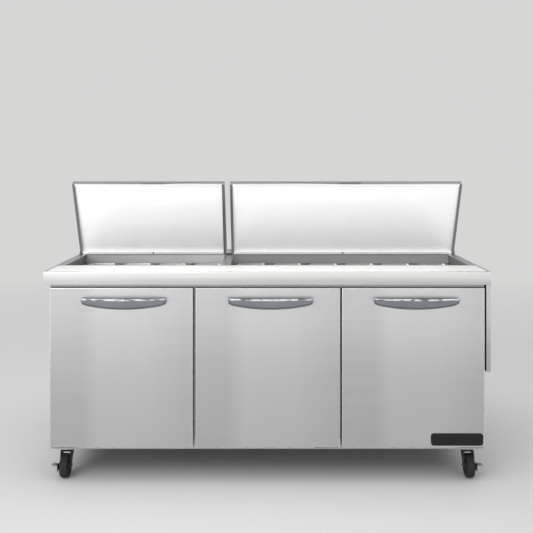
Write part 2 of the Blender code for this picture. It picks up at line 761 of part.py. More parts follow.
def lid_hinge_rail():
    """Strip behind the hoods, with an upright ear at each end of them, and the pins that they turn on."""
    thickness, clearance, bite = 0.004, 0.001, 0.006
    (a, b), (c, d) = LID_EDGES_X
    plates = ((a - clearance - thickness, a - clearance), (b + clearance, c - clearance),
              (d + clearance, d + clearance + thickness))
    pins = ((a - thickness, a + bite), (b - bite, c + bite), (d - bite, d + thickness))
    y = FRONT_Y + LID_PIVOT[0]
    z = LID_PIVOT[1]
    half, foot, rear = 0.010, WORKTOP_Z + GAP, 0.040
    profile = [
        (y - half, z + half), (y - half, z - 0.004), (y + 0.004, foot),
        (y + rear, foot), (y + rear, foot + 0.006), (y + half, z + half),
    ]
    rail = box_solid("lid_hinge_rail", zinc(), [
        box((plates[0][0], plates[2][1]), (y + rear - 0.012, y + rear + 0.004), (foot, foot + 0.003))])
    for number, (plate, pin) in enumerate(zip(plates, pins)):
        join(rail, prism(f"ear_{number}", None, profile, *plate))
        bar = rod(f"lid_pin_{number}", None, LID_PIN_RADIUS, *pin, axis="x")
        join(rail, at(bar, 0, y, z))


# ---------------------------------------------------------------- casters

CORNERS = {
    "front_left": (-1, -1), "front_right": (1, -1), "rear_left": (-1, 1), "rear_right": (1, 1),
}


def swivel(corner):
    """(x, y) of a caster's swivel axis."""
    side, end = CORNERS[corner]
    edge = BODY_FRONT + CASTER_SETBACK if end < 0 else BODY_BACK - CASTER_SETBACK
    return side * CASTER_X, edge


def base_pan():
    """Bottom sheet of the cabinet, with a caster plate, a bearing race and a king pin under each corner."""
    bottom = CABINET_BOTTOM_Z
    pan = box_solid("base_pan", steel(), [
        box((-BODY_X, BODY_X), (BODY_FRONT, BODY_BACK), (bottom, bottom + SHEET))])
    bite = SHEET / 2
    plate_z = (bottom - PLATE_THICKNESS, bottom + bite)
    race_z = plate_z[0] - RACE_HEIGHT
    pin_z = race_z - KING_PIN_LENGTH
    half = PLATE_SIDE / 2
    for corner in CORNERS:
        x, y = swivel(corner)
        plate = box((x - half, x + half), (y - half, y + half), plate_z)
        join(pan, box_solid(f"plate_{corner}", None, [plate]))
        race = turned(f"race_{corner}", None, [
            (0, pin_z), (KING_PIN_RADIUS, pin_z), (KING_PIN_RADIUS, race_z), (RACE_RADIUS - 0.002, race_z),
            (RACE_RADIUS, race_z + 0.002), (RACE_RADIUS, plate_z[0] + bite), (0, plate_z[0] + bite),
        ])
        join(pan, at(race, x, y, 0))


def caster_fork(corner):
    """Folded fork under the race, with the axle that the wheel turns on."""
    x, y = swivel(corner)
    axle_y = y - CASTER_TRAIL
    crown = CABINET_BOTTOM_Z - GAP - PLATE_THICKNESS - RACE_HEIGHT
    half_x = FORK_HALF_WIDTH
    span = 0.030
    channel = box_solid(
        f"caster_{corner}_fork", black_paint(),
        [box((x - half_x, x + half_x), (axle_y - span, y + span), (0.020, crown))],
        [box((x - half_x + FORK_SHEET, x + half_x - FORK_SHEET), (-1, 1), (0, crown - FORK_SHEET))])
    boss = 0.012
    side = [(y + 0.026, crown + 0.01), (y + 0.026, crown - 0.010)]
    side += [
        (axle_y + boss * math.cos(t), WHEEL_RADIUS + boss * math.sin(t))
        for t in (-math.pi * k / 6 for k in range(7))
    ]
    side += [(y - 0.030, crown - 0.008), (y - 0.026, crown + 0.01)]
    outline = prism(f"fork_outline_{corner}", None, side, x - 0.05, x + 0.05)
    combine(channel, outline, "INTERSECT")
    king = at(rod(f"king_hole_{corner}", None, KING_PIN_RADIUS + GAP, 0.09, 0.13), x, y, 0)
    cut(channel, king)
    axle = rod(f"axle_{corner}", None, AXLE_RADIUS, -half_x - 0.006, half_x + 0.006, axis="x")
    join(channel, at(axle, x, axle_y, WHEEL_RADIUS))


def caster_wheel(corner):
    """Tyred wheel with a bore on the axle."""
    x, y = swivel(corner)
    bore = AXLE_RADIUS + GAP
    half = WHEEL_HALF_WIDTH
    hub = half + 0.0025
    wheel = turned(f"caster_{corner}_wheel", black_rubber(), [
        (bore, -hub), (0.014, -hub), (0.016, -half + 0.003), (0.036, -half + 0.003), (0.040, -half),
        (WHEEL_RADIUS - 0.003, -half), (WHEEL_RADIUS, -half + 0.004),
        (WHEEL_RADIUS, half - 0.004), (WHEEL_RADIUS - 0.003, half),
        (0.040, half), (0.036, half - 0.003), (0.016, half - 0.003), (0.014, hub), (bore, hub),
    ], axis="x")
    at(wheel, x, y - CASTER_TRAIL, WHEEL_RADIUS)


def brake_pedal(corner):
    """Lever on the outer end of a front caster's axle, with a foot tab."""
    side = CORNERS[corner][0]
    x, y = swivel(corner)
    axle_y = y - CASTER_TRAIL
    start = FORK_HALF_WIDTH + GAP
    arm_x = sorted((x + side * start, x + side * (start + 0.003)))
    tab_x = sorted((x + side * start, x + side * (start + 0.024)))
    pedal = box_solid(f"caster_{corner}_brake", zinc(), [
        box(arm_x, (axle_y - 0.045, axle_y + 0.010), (WHEEL_RADIUS - 0.010, WHEEL_RADIUS + 0.014)),
        box(tab_x, (axle_y - 0.048, axle_y - 0.020), (WHEEL_RADIUS + 0.014, WHEEL_RADIUS + 0.018)),
        box(arm_x, (axle_y - 0.048, axle_y - 0.020), (WHEEL_RADIUS + 0.010, WHEEL_RADIUS + 0.018)),
    ])
    eye = rod(f"brake_eye_{corner}", None, AXLE_RADIUS + GAP, -0.06, 0.06, axis="x")
    cut(pedal, at(eye, x, axle_y, WHEEL_RADIUS))


# ---------------------------------------------------------------- inside the cabinet

def wire_shelves():
    """One flat wire shelf behind each door, linked at the posts by the clips that carry them."""
    y = (CAVITY_FRONT + 0.010, CAVITY_BACK - 0.010)
    z = (SHELF_Z, SHELF_Z + SHELF_WIRE)
    rows = [y[0] + (y[1] - y[0] - SHELF_WIRE) * k / 2 for k in range(3)]
    add = []
    for low, high in SHELF_EDGES_X:
        pitch = (high - low - SHELF_WIRE) / (SHELF_WIRES + 1)
        for k in range(SHELF_WIRES + 2):
            x = low + pitch * k
            add.append(box((x, x + SHELF_WIRE), y, z))
        add += [box((low, high), (start, start + SHELF_WIRE), z) for start in rows]
    for (_, low), (high, _) in itertools.pairwise(SHELF_EDGES_X):
        add += [box((low, high), (start, start + SHELF_WIRE), z) for start in (rows[0], rows[-1])]
    box_solid("wire_shelves", zinc(), add)


def evaporator_fan_centre():
    return (0.0, EVAPORATOR_Y[0] + 0.022, sum(EVAPORATOR_Z) / 2)


def evaporator():
    """Finned coil in a housing that is open at the back, with a fan hole in its face."""
    y0, y1 = EVAPORATOR_Y
    z0, z1 = EVAPORATOR_Z
    x = EVAPORATOR_X
    outer = box((-x, x), (y0, y1), (z0, z1))
    hollow = box((-x + SHEET, x - SHEET), (y0 + SHEET, 1), (z0 + SHEET, z1 - SHEET))
    housing = box_solid("evaporator_housing", white_liner(), [outer], [hollow])
    fx, _, fz = evaporator_fan_centre()
    mouth = rod("evaporator_mouth", None, FAN_RADIUS + 0.006, y0 - 0.02, y0 + 0.02, 32, "y")
    cut(housing, at(mouth, fx, 0, fz))
    finned_block(
        "evaporator_coil", (-x + 0.010, x - 0.010), (y0 + 0.065, y1 - 0.004), (z0 + 0.006, z1 - 0.006),
        EVAPORATOR_SLOTS)


def finned_block(name, x, y, z, slots):
    """Coil block with a row of slots between groups of fins."""
    count, width = slots
    pitch = (x[1] - x[0]) / (count + 1)
    cuts = []
    for k in range(count):
        middle = x[0] + pitch * (k + 1)
        slot = (middle - width / 2, middle + width / 2)
        cuts.append(box(slot, (-1, y[1] - 0.006), (z[0] + 0.008, z[1] - 0.008)))
    box_solid(name, aluminium(), [box(x, y, z)], cuts)


def fan(name, centre, finish):
    """Hub with a bore and four pitched blades, turning about Y."""
    hub_radius, hub_half, bore = 0.016, 0.009, 0.0033
    profile = [(bore, -hub_half), (hub_radius, -hub_half), (hub_radius, hub_half), (bore, hub_half)]
    hub = turned(name, finish, profile, 20, "y")
    at(hub, *centre)
    for k in range(4):
        blade = box_solid(f"{name}_blade_{k}", None, [
            box((hub_radius - 0.004, FAN_RADIUS), (-0.001, 0.001), (-0.018, 0.018))])
        turn = Matrix.Rotation(math.pi / 2 * k, 4, "Y") @ Matrix.Rotation(math.radians(24), 4, "X")
        blade.matrix_world = Matrix.Translation(centre) @ turn
        join(hub, blade)


def fan_motor(name, centre):
    """Shaded-pole motor behind a fan, with its shaft in the fan's hub."""
    shaft, radius, length, reach, start = 0.003, 0.026, 0.030, 0.008, 0.010
    profile = [
        (0, -reach), (shaft, -reach), (shaft, start), (radius, start),
        (radius, start + length), (0, start + length),
    ]
    at(turned(name, black_paint(), profile, 20, "y"), *centre)


def compressor():
    """Welded steel pot on a foot plate, hollow from beneath."""
    radius = COMPRESSOR_RADIUS
    seam = radius + 0.003
    shoulder = COMPRESSOR_SHOULDER
    dome = [(0, 0.004), (radius, 0.004), (radius, 0.070), (seam, 0.073), (seam, 0.079), (radius, 0.082)]
    dome += [
        (radius * math.cos(t), shoulder + COMPRESSOR_DOME * math.sin(t))
        for t in (math.pi / 2 * k / 5 for k in range(5))
    ]
    dome.append((0, shoulder + COMPRESSOR_DOME))
    place = (*COMPRESSOR_PLACE, BODY_BASE)
    pot = at(turned("compressor", black_paint(), dome, 28), *place)
    length, width, thickness = COMPRESSOR_FOOT
    foot = box_solid("compressor_foot", None, [box((-length, length), (-width, width), (0, thickness))])
    join(pot, at(foot, *place))
    bore_radius, bore_depth = COMPRESSOR_BORE
    cut(pot, at(rod("compressor_bore", None, bore_radius, -0.01, bore_depth, 28), *place))


def condensing_unit():
    """Compressor and condenser coil behind the rear grille."""
    compressor()
    z = (BODY_BASE, BODY_BASE + CONDENSER_HEIGHT)
    finned_block("condenser_coil", CONDENSER_X, CONDENSER_Y, z, CONDENSER_SLOTS)


def rear_grille():
    """Louvred panel over the machine space."""
    half = BODY_X - SHEET - GAP
    z = (BODY_BASE, MACHINE_TOP_Z + 2 * SHEET - GAP)
    plate = box((-half, half), (BODY_BACK - SHEET, BODY_BACK), z)
    first_x, pitch_x, columns = LOUVRE_COLUMNS
    first_z, pitch_z, rows = LOUVRE_ROWS
    width, height = LOUVRE_SIZE
    slots = []
    for column, row in itertools.product(range(columns), range(rows)):
        x = first_x + pitch_x * column
        low = z[0] + first_z + pitch_z * row
        slots.append(box((x, x + width), (-1, 1), (low, low + height)))
    box_solid("rear_grille", steel(), [plate], slots)


def rear_fittings():
    """Controller box and cable gland on the back."""
    y = (BODY_BACK + GAP, BACK_Y - 0.001)
    x = (-CONTROLLER_HALF_WIDTH, CONTROLLER_HALF_WIDTH)
    box_solid("temperature_controller", black_plastic(), [box(x, y, CONTROLLER_Z)])
    gland = turned("power_inlet", black_plastic(), [
        (0.006, 0), (0.016, 0), (0.016, 0.004), (0.011, 0.005), (0.009, 0.0105), (0.006, 0.0105),
    ], 20, "y")
    at(gland, GLAND_PLACE[0], y[0], GLAND_PLACE[1])


def build():
    for old in list(bpy.data.objects):
        bpy.data.objects.remove(old)
    base_pan()
    cabinet_skins()
    front_frame()
    interior_liner()
    insulation()
    worktop()
    cutting_board()
    pan_wells()
    pan_supports(0)
    pan_supports(1)
    food_pans()
    side_service_cover()
    for door in range(3):
        door_shell(door)
        door_liner(door)
        door_gasket(door)
        door_handle(door)
    label_plate()
    hinge_rail("hinge_rail_top", True)
    hinge_rail("hinge_rail_bottom", False)
    for lid in range(2):
        hood_shell(lid)
        hood_liner(lid)
    lid_hinge_rail()
    for corner in CORNERS:
        caster_fork(corner)
        caster_wheel(corner)
    brake_pedal("front_left")
    brake_pedal("front_right")
    wire_shelves()
    evaporator()
    fan("evaporator_fan", evaporator_fan_centre(), black_plastic())
    fan_motor("evaporator_fan_motor", evaporator_fan_centre())
    fan("condenser_fan", CONDENSER_FAN, aluminium())
    fan_motor("condenser_fan_motor", CONDENSER_FAN)
    condensing_unit()
    rear_grille()
    rear_fittings()


build()
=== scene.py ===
"""Looks of a refrigerated sandwich prep table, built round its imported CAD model.

Metres, +Z up, and the front faces -Y.
"""

import itertools
import json
import math

import bmesh
import bpy
from mathutils import Matrix, Vector

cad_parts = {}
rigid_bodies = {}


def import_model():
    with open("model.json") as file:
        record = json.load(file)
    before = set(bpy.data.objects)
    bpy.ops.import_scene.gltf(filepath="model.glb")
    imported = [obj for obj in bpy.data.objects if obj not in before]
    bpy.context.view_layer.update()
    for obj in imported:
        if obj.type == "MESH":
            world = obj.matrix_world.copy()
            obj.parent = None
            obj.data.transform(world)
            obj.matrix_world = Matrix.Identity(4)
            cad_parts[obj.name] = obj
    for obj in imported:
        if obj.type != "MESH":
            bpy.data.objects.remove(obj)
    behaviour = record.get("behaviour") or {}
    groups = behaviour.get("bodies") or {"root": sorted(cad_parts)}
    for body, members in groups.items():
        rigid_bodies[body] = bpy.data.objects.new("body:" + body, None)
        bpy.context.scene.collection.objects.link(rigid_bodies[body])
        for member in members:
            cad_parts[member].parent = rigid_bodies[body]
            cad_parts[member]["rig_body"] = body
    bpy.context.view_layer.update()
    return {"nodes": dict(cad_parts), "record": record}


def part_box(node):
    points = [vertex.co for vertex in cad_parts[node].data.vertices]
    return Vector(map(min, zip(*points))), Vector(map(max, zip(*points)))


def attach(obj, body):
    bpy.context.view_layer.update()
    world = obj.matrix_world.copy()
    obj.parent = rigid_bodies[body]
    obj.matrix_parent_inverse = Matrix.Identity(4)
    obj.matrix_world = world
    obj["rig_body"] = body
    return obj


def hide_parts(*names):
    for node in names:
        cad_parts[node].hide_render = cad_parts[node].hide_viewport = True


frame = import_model()

DOORS = ("left", "middle", "right")
LIDS = ("left", "right")
CORNERS = ("front_left", "front_right", "rear_left", "rear_right")
SMOOTH_ANGLE = math.radians(32)     # sharper edges than this are rounded
FLAT_ANGLE = math.radians(0.4)      # faces that differ by less than this are one face
WELD = 2e-5
ON_FACE = 1e-4                      # a point this near to a plane lies on it
SOFT_EDGE = 0.0004                  # rounding of a cut sheet's edge
WORKTOP_EDGE = 0.0005
WORKTOP_FOLD = 0.003                # rounding of folded sheet
DOOR_FOLD = 0.0028
HOOD_FOLD = 0.004

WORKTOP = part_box("worktop")


# ---------------------------------------------------------------- materials

class Nodes:
    """Shader nodes, made and linked in short steps."""

    def __init__(self, tree):
        self.tree = tree

    def node(self, kind, inputs=None, **settings):
        made = self.tree.nodes.new(f"ShaderNode{kind}")
        for key, value in settings.items():
            setattr(made, key, value)
        for key, value in (inputs or {}).items():
            if isinstance(value, bpy.types.NodeSocket):
                self.tree.links.new(value, made.inputs[key])
            else:
                made.inputs[key].default_value = value
        return made

    def span(self, value, low, high, start, end, **settings):
        """value from low..high mapped to start..end, and held there beyond."""
        limits = {"From Min": low, "From Max": high, "To Min": start, "To Max": end}
        return self.node("MapRange", {"Value": value, **limits}, **settings).outputs[0]

    def math(self, operation, a, b):
        return self.node("Math", {0: a, 1: b}, operation=operation).outputs[0]


class Finish(Nodes):
    """A procedural material."""

    def __init__(self, name, **constants):
        self.material = bpy.data.materials.new(name)
        self.material.use_nodes = True
        super().__init__(self.material.node_tree)
        self.shader = self.tree.nodes["Principled BSDF"]
        for socket, value in constants.items():
            self.shader.inputs[socket.replace("_", " ")].default_value = value

    def coords(self, space, stretch):
        where = self.node("TexCoord").outputs[space]
        return self.node("Mapping", {"Vector": where, "Scale": stretch}).outputs["Vector"]

    def noise(self, stretch, detail=3.0, space="Object"):
        """Smooth noise with that many cells a metre along each axis."""
        return self.node("TexNoise", {
            "Vector": self.coords(space, stretch), "Scale": 1.0, "Detail": detail}).outputs[0]

    def cells(self, stretch, feature="F1", space="Object"):
        return self.node("TexVoronoi", {
            "Vector": self.coords(space, stretch), "Scale": 1.0}, feature=feature).outputs["Distance"]

    def blend(self, factor, a, b):
        """Colour a to b by factor. Either colour may be a socket."""
        made = self.node("Mix", {0: factor}, data_type="RGBA")
        for index, color in ((6, a), (7, b)):
            if isinstance(color, bpy.types.NodeSocket):
                self.tree.links.new(color, made.inputs[index])
            else:
                made.inputs[index].default_value = (*color, 1.0)
        return made.outputs[2]

    def bump(self, *layers):
        """Bump from (height, strength, distance) layers, one on top of the other."""
        normal = None
        for height, strength, distance in layers:
            inputs = {"Height": height, "Strength": strength, "Distance": distance}
            if normal:
                inputs["Normal"] = normal
            normal = self.node("Bump", inputs).outputs[0]
        self.tree.links.new(normal, self.shader.inputs["Normal"])

    def set(self, socket, value):
        self.tree.links.new(value, self.shader.inputs[socket])

    def along_grain(self):
        tangent = self.node("Tangent", direction_type="UV_MAP", uv_map="grain").outputs[0]
        self.tree.links.new(tangent, self.shader.inputs["Tangent"])


def brushed(name, dark, light, roughness, coarse=0.5, wave=1.0, painted_band=False):
    """Brushed sheet steel: grain along the UV map's u, faint smears and a slightly wavy surface; optionally
    a lighter band across a door, painted into the colour as a painted reflection.
    """
    made = Finish(name, Metallic=1.0, Anisotropic=0.55)
    fine = made.noise((5, 900, 1), 2.0, "UV")
    broad = made.noise((1.2, 130, 1), 3.0, "UV")
    smear = made.noise((3.1, 3.1, 4.3), 4.0)
    grain = made.math("ADD", made.math("MULTIPLY", fine, 1 - coarse), made.math("MULTIPLY", broad, coarse))
    tone = made.blend(made.span(grain, 0.32, 0.68, 0.0, 1.0), dark, light)
    tone = made.blend(made.span(smear, 0.35, 0.75, 0.0, 0.16), tone, [0.86 * c for c in dark])
    # painted reflection: a lighter band across the door's width, where a softbox would show in the steel
    if painted_band:
        across = made.node("Attribute", attribute_name="across", attribute_type="GEOMETRY").outputs["Fac"]
        rise = made.span(across, 0.22, 0.34, 0.0, 1.0)
        fall = made.span(across, 0.68, 0.95, 0.0, 0.72)
        reflection_band = made.math("SUBTRACT", rise, fall)
        tone = made.blend(made.math("MULTIPLY", reflection_band, 0.75), tone, [min(1.0, 1.10 * c) for c in light])
    made.set("Base Color", tone)
    rough = made.math("ADD", made.span(grain, 0.3, 0.7, roughness, roughness + 0.12),
                      made.span(smear, 0.4, 0.8, 0.0, 0.08))
    made.set("Roughness", rough)
    wobble = made.noise((1.7, 1.7, 2.1), 1.0)
    made.bump((wobble, 0.5 * wave, 0.004), (fine, 0.10, 0.0002))
    made.along_grain()
    return made.material


def worn_edge(name, color, roughness):
    """The rounded edge of a sheet, polished by hands and cloths."""
    made = Finish(name, Metallic=1.0)
    rub = made.noise((40, 40, 40), 3.0)
    made.set("Base Color", made.blend(made.span(rub, 0.35, 0.65, 0, 1), [0.9 * c for c in color], color))
    made.set("Roughness", made.span(rub, 0.3, 0.7, roughness, roughness + 0.15))
    made.bump((made.noise((300, 300, 300), 2.0), 0.05, 0.0002))
    return made.material


def plated(name, color, tint, roughness, spangle):
    """Chrome or zinc plating, with finger marks or a crystalline spangle."""
    made = Finish(name, Metallic=1.0)
    marks = made.noise((14, 14, 14), 5.0)
    made.set("Base Color", made.blend(made.span(marks, 0.35, 0.7, 0, 1), color, tint))
    made.set("Roughness", made.span(marks, 0.35, 0.75, roughness, roughness * 2.2))
    crystals = made.cells((spangle, spangle, spangle))
    made.bump((crystals, 0.06, 0.0003), (made.noise((5, 5, 5), 1.0), 0.1, 0.002))
    return made.material


def lip_chrome():
    """Chrome on a tight roll, with soft dark and light patches painted into its colour as a painted
    reflection of the room.
    """
    made = Finish("chrome_lip", Metallic=1.0)
    patches = made.noise((26, 30, 95), 2.0)
    painted_reflection = made.span(patches, 0.47, 0.60, 0, 1)
    made.set("Base Color", made.blend(painted_reflection, (0.66, 0.675, 0.70), (0.14, 0.15, 0.17)))
    made.set("Roughness", made.span(patches, 0.3, 0.7, 0.08, 0.14))
    made.bump((made.noise((9, 9, 9), 1.0), 0.1, 0.002))
    return made.material


def painted(name, color, roughness, chip=(0.30, 0.30, 0.31)):
    """Black paint with an orange-peel skin, dust and small chips."""
    made = Finish(name, Coat_Weight=0.25, Coat_Roughness=0.2)
    dust = made.noise((22, 22, 22), 5.0)
    chips = made.span(made.noise((160, 160, 160), 4.0), 0.70, 0.74, 0, 1)
    tone = made.blend(made.span(dust, 0.45, 0.8, 0, 0.4), color, [c + 0.05 for c in color])
    made.set("Base Color", made.blend(chips, tone, chip))
    made.set("Metallic", chips)
    made.set("Roughness", made.span(dust, 0.3, 0.8, roughness, roughness + 0.25))
    made.bump((made.noise((420, 420, 420), 2.0), 0.15, 0.0003), (chips, -0.2, 0.0001))
    return made.material


def moulded(name, color, roughness, grain=600, relief=0.2, dirt=0.12, shine=0.5):
    """Moulded plastic or rubber with a fine surface texture."""
    made = Finish(name, Specular_IOR_Level=shine)
    dirt_map = made.noise((11, 11, 11), 5.0)
    soiled = [c * 0.75 + 0.04 for c in color]
    made.set("Base Color", made.blend(made.span(dirt_map, 0.45, 0.8, 0, dirt), color, soiled))
    made.set("Roughness", made.span(dirt_map, 0.3, 0.8, roughness, min(1.0, roughness + 0.18)))
    made.bump((made.cells((grain, grain, grain)), relief, 0.0002))
    return made.material


LINER_GLOW = 0.10       # stands in for the light that bounces about inside the white hoods


def gloss_liner():
    """White pre-painted liner sheet: clear gloss over a faint orange peel."""
    made = Finish(
        "white_liner", Coat_Weight=0.35, Coat_Roughness=0.12,
        Emission_Color=(1, 1, 1, 1), Emission_Strength=LINER_GLOW)
    haze = made.noise((6, 6, 6), 4.0)
    hazed = made.span(haze, 0.35, 0.75, 0, 1)
    made.set("Base Color", made.blend(hazed, (0.955, 0.957, 0.96), (0.92, 0.923, 0.927)))
    made.set("Roughness", made.span(haze, 0.3, 0.8, 0.16, 0.30))
    wave = made.noise((2.4, 2.4, 2.4), 1.0)
    peel = made.noise((240, 240, 240), 2.0)
    made.bump((wave, 0.5, 0.004), (peel, 0.05, 0.0003))
    return made.material


def cutting_plastic():
    """White polyethylene with a fine matt grain, knife scores and faint stains."""
    made = Finish("board_polyethylene", Subsurface_Weight=0.15, Subsurface_Scale=0.004)
    scores = []
    for turn, (near, far) in zip((0.25, 1.25, 2.35), ((30, 420), (26, 380), (34, 450))):
        where = made.node("TexCoord").outputs["Object"]
        turned = made.node("Mapping", {
            "Vector": where, "Rotation": (0, 0, turn), "Scale": (near, far, 1)}).outputs["Vector"]
        line = made.node("TexVoronoi", {"Vector": turned, "Scale": 1.0}, feature="F1").outputs["Distance"]
        scores.append(made.span(line, 0.0, 0.10, 1.0, 0.0))
    cuts = made.math("MAXIMUM", made.math("MAXIMUM", scores[0], scores[1]), scores[2])
    used = made.span(made.noise((4, 9, 4), 3.0), 0.42, 0.62, 0.0, 1.0)
    cuts = made.math("MULTIPLY", cuts, used)
    stain = made.span(made.noise((7, 11, 7), 4.0), 0.5, 0.8, 0.0, 0.35)
    tone = made.blend(stain, (0.85, 0.85, 0.836), (0.79, 0.78, 0.745))
    made.set("Base Color", made.blend(made.math("MULTIPLY", cuts, 0.30), tone, (0.70, 0.69, 0.66)))
    made.set("Roughness", made.span(stain, 0.0, 0.35, 0.42, 0.58))
    made.bump((made.noise((700, 700, 700), 2.0), 0.18, 0.0003), (cuts, -0.35, 0.0003))
    return made.material


def foam():
    made = Finish("insulation_foam", Subsurface_Weight=0.1, Subsurface_Scale=0.003)
    bubbles = made.cells((260, 260, 260))
    tone = made.blend(made.span(bubbles, 0.1, 0.7, 0, 1), (0.62, 0.50, 0.26), (0.82, 0.72, 0.45))
    made.set("Base Color", tone)
    made.set("Roughness", made.span(bubbles, 0, 1, 0.8, 0.95))
    made.bump((bubbles, 0.6, 0.001))
    return made.material


STEEL = brushed("brushed_stainless", (0.50, 0.50, 0.505), (0.62, 0.62, 0.625), 0.30)
# door steel with the painted reflection band across each door
DOOR_STEEL = brushed("door_stainless", (0.47, 0.47, 0.476), (0.53, 0.53, 0.538), 0.34, painted_band=True)
TOP_STEEL = brushed("worktop_stainless", (0.60, 0.60, 0.595), (0.72, 0.72, 0.715), 0.26)
# painted shade: the same stainless, darkened for the shade down in the pan wells
WELL_SHADE_STEEL = brushed("well_stainless_painted_shade", (0.22, 0.22, 0.22), (0.30, 0.30, 0.30), 0.36)
SHADE_STEEL = brushed("shaded_stainless", (0.24, 0.24, 0.24), (0.32, 0.32, 0.32), 0.34)
# painted shade: near-black steel for downward faces, where the shadow under the cabinet falls
UNDERSIDE_SHADE = brushed("underside_painted_shade", (0.05, 0.05, 0.05), (0.08, 0.08, 0.08), 0.5)
PAN_STEEL = brushed("pan_stainless", (0.36, 0.36, 0.36), (0.47, 0.47, 0.47), 0.22, coarse=0.3)
EDGE = worn_edge("worn_steel_edge", (0.78, 0.78, 0.785), 0.22)
# painted reflection: chrome darkened all over for the dark room it reflects in the scoop; its finger marks
# are real
CHROME = plated("chrome_plate", (0.30, 0.315, 0.34), (0.25, 0.265, 0.29), 0.08, 500)
LIP_CHROME = lip_chrome()
ZINC = plated("zinc_plated_steel", (0.48, 0.49, 0.51), (0.36, 0.37, 0.39), 0.28, 90)
ALUMINIUM = plated("fin_aluminium", (0.72, 0.73, 0.74), (0.60, 0.61, 0.62), 0.30, 200)
COPPER = plated("copper_tube", (0.72, 0.38, 0.24), (0.42, 0.22, 0.14), 0.26, 120)
BLACK_PAINT = painted("black_paint", (0.018, 0.018, 0.019), 0.30)
LINER = gloss_liner()
BOARD_PLASTIC = cutting_plastic()
RUBBER = moulded("gasket_rubber", (0.030, 0.030, 0.032), 0.62, grain=500, relief=0.15)
TYRE = moulded("caster_tyre", (0.020, 0.020, 0.021), 0.66, grain=350, relief=0.3, dirt=0.5, shine=0.3)
PLASTIC = moulded("black_plastic", (0.016, 0.016, 0.018), 0.36, grain=800, relief=0.12, shine=0.3)
LABEL = moulded("label_face", (0.012, 0.012, 0.013), 0.30, grain=900, relief=0.05, shine=0.2)
FOAM = foam()
DISPLAY = moulded("display_window", (0.020, 0.004, 0.004), 0.08, grain=60, relief=0.02, dirt=0.05)
KEY_RUBBER = moulded("controller_key", (0.10, 0.10, 0.105), 0.5, grain=700, relief=0.15)


# ---------------------------------------------------------------- pieces

def lay_grain(mesh):
    """UVs in metres, with u along the brushing: along X, but along Y on faces that look sideways."""
    layer = mesh.uv_layers.new(name="grain")
    for polygon in mesh.polygons:
        facing = max(range(3), key=lambda axis: abs(polygon.normal[axis]))
        u, v = ((1, 2), (0, 2), (0, 1))[facing]
        for loop in polygon.loop_indices:
            point = mesh.vertices[mesh.loops[loop].vertex_index].co
            layer.data[loop].uv = (point[u], point[v])


def piece(name, bm, body, slot, *finishes, stands_for=()):
    """Makes an object from bm, shades it, lays its grain and attaches it to a body."""
    bmesh.ops.recalc_face_normals(bm, faces=bm.faces)
    mesh = bpy.data.meshes.new(name)
    bm.to_mesh(mesh)
    bm.free()
    for finish in finishes:
        mesh.materials.append(finish)
    lay_grain(mesh)
    mesh.shade_smooth()
    mesh.set_sharp_from_angle(angle=SMOOTH_ANGLE)
    made = bpy.data.objects.new(name, mesh)
    bpy.context.scene.collection.objects.link(made)
    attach(made, body)
    if stands_for:
        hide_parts(*stands_for)
    return made


def node_mesh(node):
    """A welded copy of a CAD node's mesh, with its flat faces whole."""
    bm = bmesh.new()
    bm.from_mesh(frame["nodes"][node].data)
    bmesh.ops.remove_doubles(bm, verts=bm.verts, dist=WELD)
    bmesh.ops.dissolve_limit(bm, angle_limit=FLAT_ANGLE, verts=bm.verts, edges=bm.edges)
    return bm


def sharp_edges(bm, chosen=None):
    return [
        e for e in bm.edges
        if len(e.link_faces) == 2 and e.calc_face_angle(0) > SMOOTH_ANGLE and (chosen is None or chosen(e))
    ]


def round_edges(bm, radius, segments, chosen=None):
    bmesh.ops.bevel(
        bm, geom=sharp_edges(bm, chosen), offset=radius, segments=segments, profile=0.5,
        affect="EDGES", clamp_overlap=False, material=1)


def softened(node, finish, edge=None, radius=SOFT_EDGE, bends=(), cuts=()):
    """A CAD node with every edge rounded.

    bends lists (test of an edge's middle, radius) for larger folds. cuts lists (point, normal) of planes
    that divide its faces, so that each part can have its own finish.
    """
    bm = node_mesh(node)
    for test, bend in bends:
        round_edges(bm, bend, 5, lambda e: test((e.verts[0].co + e.verts[1].co) / 2))
    round_edges(bm, radius, 2)
    for point, normal in cuts:
        whole = [*bm.verts, *bm.edges, *bm.faces]
        bmesh.ops.bisect_plane(bm, geom=whole, plane_co=point, plane_no=normal)
    cad = frame["nodes"][node]
    slot = record_slot(node)
    return piece(f"{node}_look", bm, cad["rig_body"], slot, finish, edge or finish, stands_for=[node])


def record_slot(node):
    return next(s["material_slot"] for s in frame["record"]["subparts"] if s["node"] == node)


# Face and edge finish of each material slot
FINISHES = {
    "brushed_stainless": (STEEL, EDGE), "pan_stainless": (PAN_STEEL, EDGE), "chrome_plate": (CHROME,) * 2,
    "zinc_plated_steel": (ZINC,) * 2, "fin_aluminium": (ALUMINIUM,) * 2, "black_paint": (BLACK_PAINT,) * 2,
    "white_liner": (LINER,) * 2, "board_polyethylene": (BOARD_PLASTIC,) * 2, "gasket_rubber": (RUBBER,) * 2,
    "caster_tyre": (TYRE,) * 2, "black_plastic": (PLASTIC,) * 2, "insulation_foam": (FOAM,) * 2,
}
# Nodes that differ from their slot
OWN_FINISHES = {
    "pan_wells": (WELL_SHADE_STEEL, STEEL),
    "hinge_rail_top": (SHADE_STEEL, SHADE_STEEL),
    "side_service_cover": (DOOR_STEEL, EDGE),
    "label_plate": (LABEL, LABEL),
}


# ---------------------------------------------------------------- shapes drawn into a bmesh

def bridge(bm, one, two, finish=0):
    """Quads between two rings of vertices."""
    count = len(one)
    for k in range(count):
        n = (k + 1) % count
        bm.faces.new((one[k], one[n], two[n], two[k])).material_index = finish


